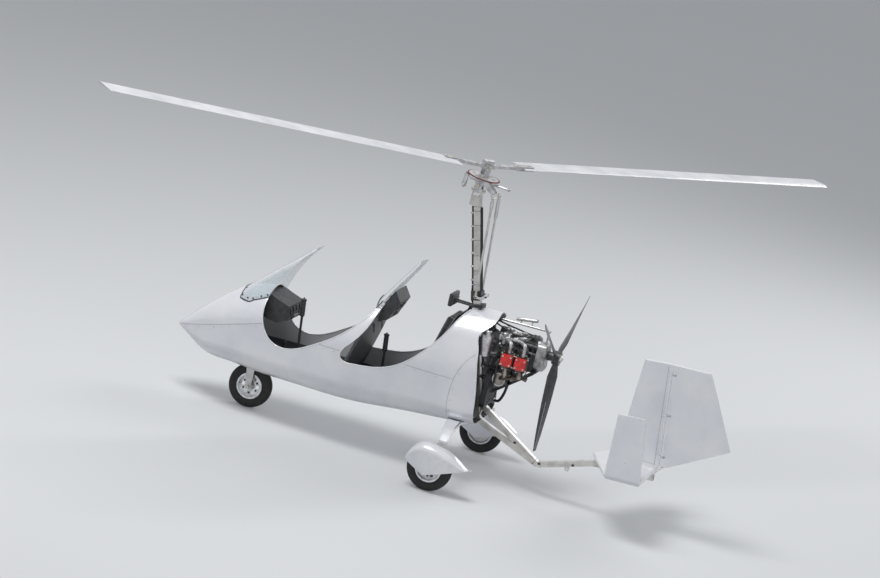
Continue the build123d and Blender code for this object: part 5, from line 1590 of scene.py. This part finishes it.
# Nose and belly fittings: the gaiter round the steering stem, and the nuts of the wheels' axles.
# A moulded rubber boot tied to the stem, and plated nuts and bolts.
GAITER = [
    (0.030, 0.500), (0.034, 0.494), (0.028, 0.488), (0.034, 0.482), (0.028, 0.476), (0.033, 0.470),
    (0.024, 0.462), (0.0175, 0.459),
]
place(lathe("steering_boot", GAITER, WELL_CENTRE, Z, 36), seal)
spots = [((1.777, side * 0.098, 0.200), Y * side) for side in ENDS]
bolts("fork_axle_nuts", spots, plated, "stainless", 0.010, 0.003, 0.0122, body="nose_fork")
spots = [((-0.193, side * 0.834, 0.200), Y * side) for side in ENDS]
bolts("axle_nuts", spots, plated, "stainless", 0.0105, 0.004, 0.0122)
PLATE_BOLTS = ((-0.265, 0.415), (-0.225, 0.415), (-0.245, 0.385))
spots = [((x, side * 0.7158, z), Y * -side) for side in ENDS for x, z in PLATE_BOLTS]
bolts("gear_plate_bolts", spots, plated, "stainless", 0.0075, 0.006, 0.0095)


# Floor, daylight and camera: a pale studio floor, soft lamps and the photo's own viewing angle.
floor_paint, tree, shader = surface("studio_floor", (0.53, 0.54, 0.55), 0.8)


def looked_at(tree):
    """1 for what the camera sees, also in a mirror or through glass, and 0 for light on the object."""
    light_path = new_node(tree, "ShaderNodeLightPath", {})
    direct = light_path["Is Camera Ray"]
    for kind in ("Is Glossy Ray", "Is Transmission Ray"):
        direct = worked_out(tree, "MAXIMUM", direct, light_path[kind])
    return direct


# The floor is paler to the eye than in the light that it throws back on the object.
paler = mixed(tree, looked_at(tree), (0.53, 0.54, 0.55), (0.60, 0.61, 0.62))
fill(tree, shader, {
    "Base Color": paler, "Emission Color": (0.95, 0.97, 1.0, 1),
    "Emission Strength": level(tree, looked_at(tree), 0.0, 0.09, 0, 1),
})
REACH = 120
corners = [(-REACH, -REACH, 0), (REACH, -REACH, 0), (REACH, REACH, 0), (-REACH, REACH, 0)]
floor_mesh = bpy.data.meshes.new("studio_floor")
floor_mesh.from_pydata(corners, [], [(0, 1, 2, 3)])
floor_mesh.materials.append(floor_paint)
floor = linked("studio_floor", floor_mesh)

scene = bpy.context.scene
scene.view_settings.view_transform = "Standard"
scene.world = bpy.data.worlds.new("daylight")
scene.world.use_nodes = True
sky = scene.world.node_tree
# Soft light all round; what is seen directly, or mirrored in metal and glass, is brighter.
soft = sky.nodes["Background"]
fill(sky, soft, {"Color": (0.92, 0.95, 1.0, 1), "Strength": 0.32})
seen = new_node(sky, "ShaderNodeBackground", {"Color": (0.93, 0.95, 0.98, 1), "Strength": 0.8})["Background"]
blended(sky, looked_at(sky), soft.outputs["Background"], seen, "World Output")
LAMPS = [
    # name, place, aim, size, power
    ("key", (3.5, 4.0, 13.5), (0.2, 0, 1.2), 6.0, 1250),
    ("fill", (-9.0, 12.0, 3.5), (0.0, 0, 1.0), 8.0, 190),
    ("rim", (-5.0, -10.0, 8.0), (0.0, 0, 1.4), 6.0, 480),
]
for name, spot, aim, size, power in LAMPS:
    lamp = linked(name, set_up(bpy.data.lights.new(name, "AREA"), size=size, energy=power))
    lamp.location = spot
    lamp.rotation_euler = (Vector(aim) - Vector(spot)).to_track_quat("-Z", "Y").to_euler()

# The machine was banked away and nose down to the camera, so the camera is rolled to match.
CAMERA_PLACE = Vector((-6.835, 27.705, 8.444))
CAMERA_AIM = Vector((0.278, 0.0, 1.544))
CAMERA_ROLL = radians(13.14)
LENS = 137.9
lens = set_up(bpy.data.cameras.new("camera"), lens=LENS, sensor_width=36, clip_end=400)
scene.camera = linked("camera", lens)
scene.camera.location = CAMERA_PLACE
look = (CAMERA_AIM - CAMERA_PLACE).to_track_quat("-Z", "Y").to_matrix()
scene.camera.rotation_euler = (look @ Matrix.Rotation(CAMERA_ROLL, 3, "Z")).to_euler()
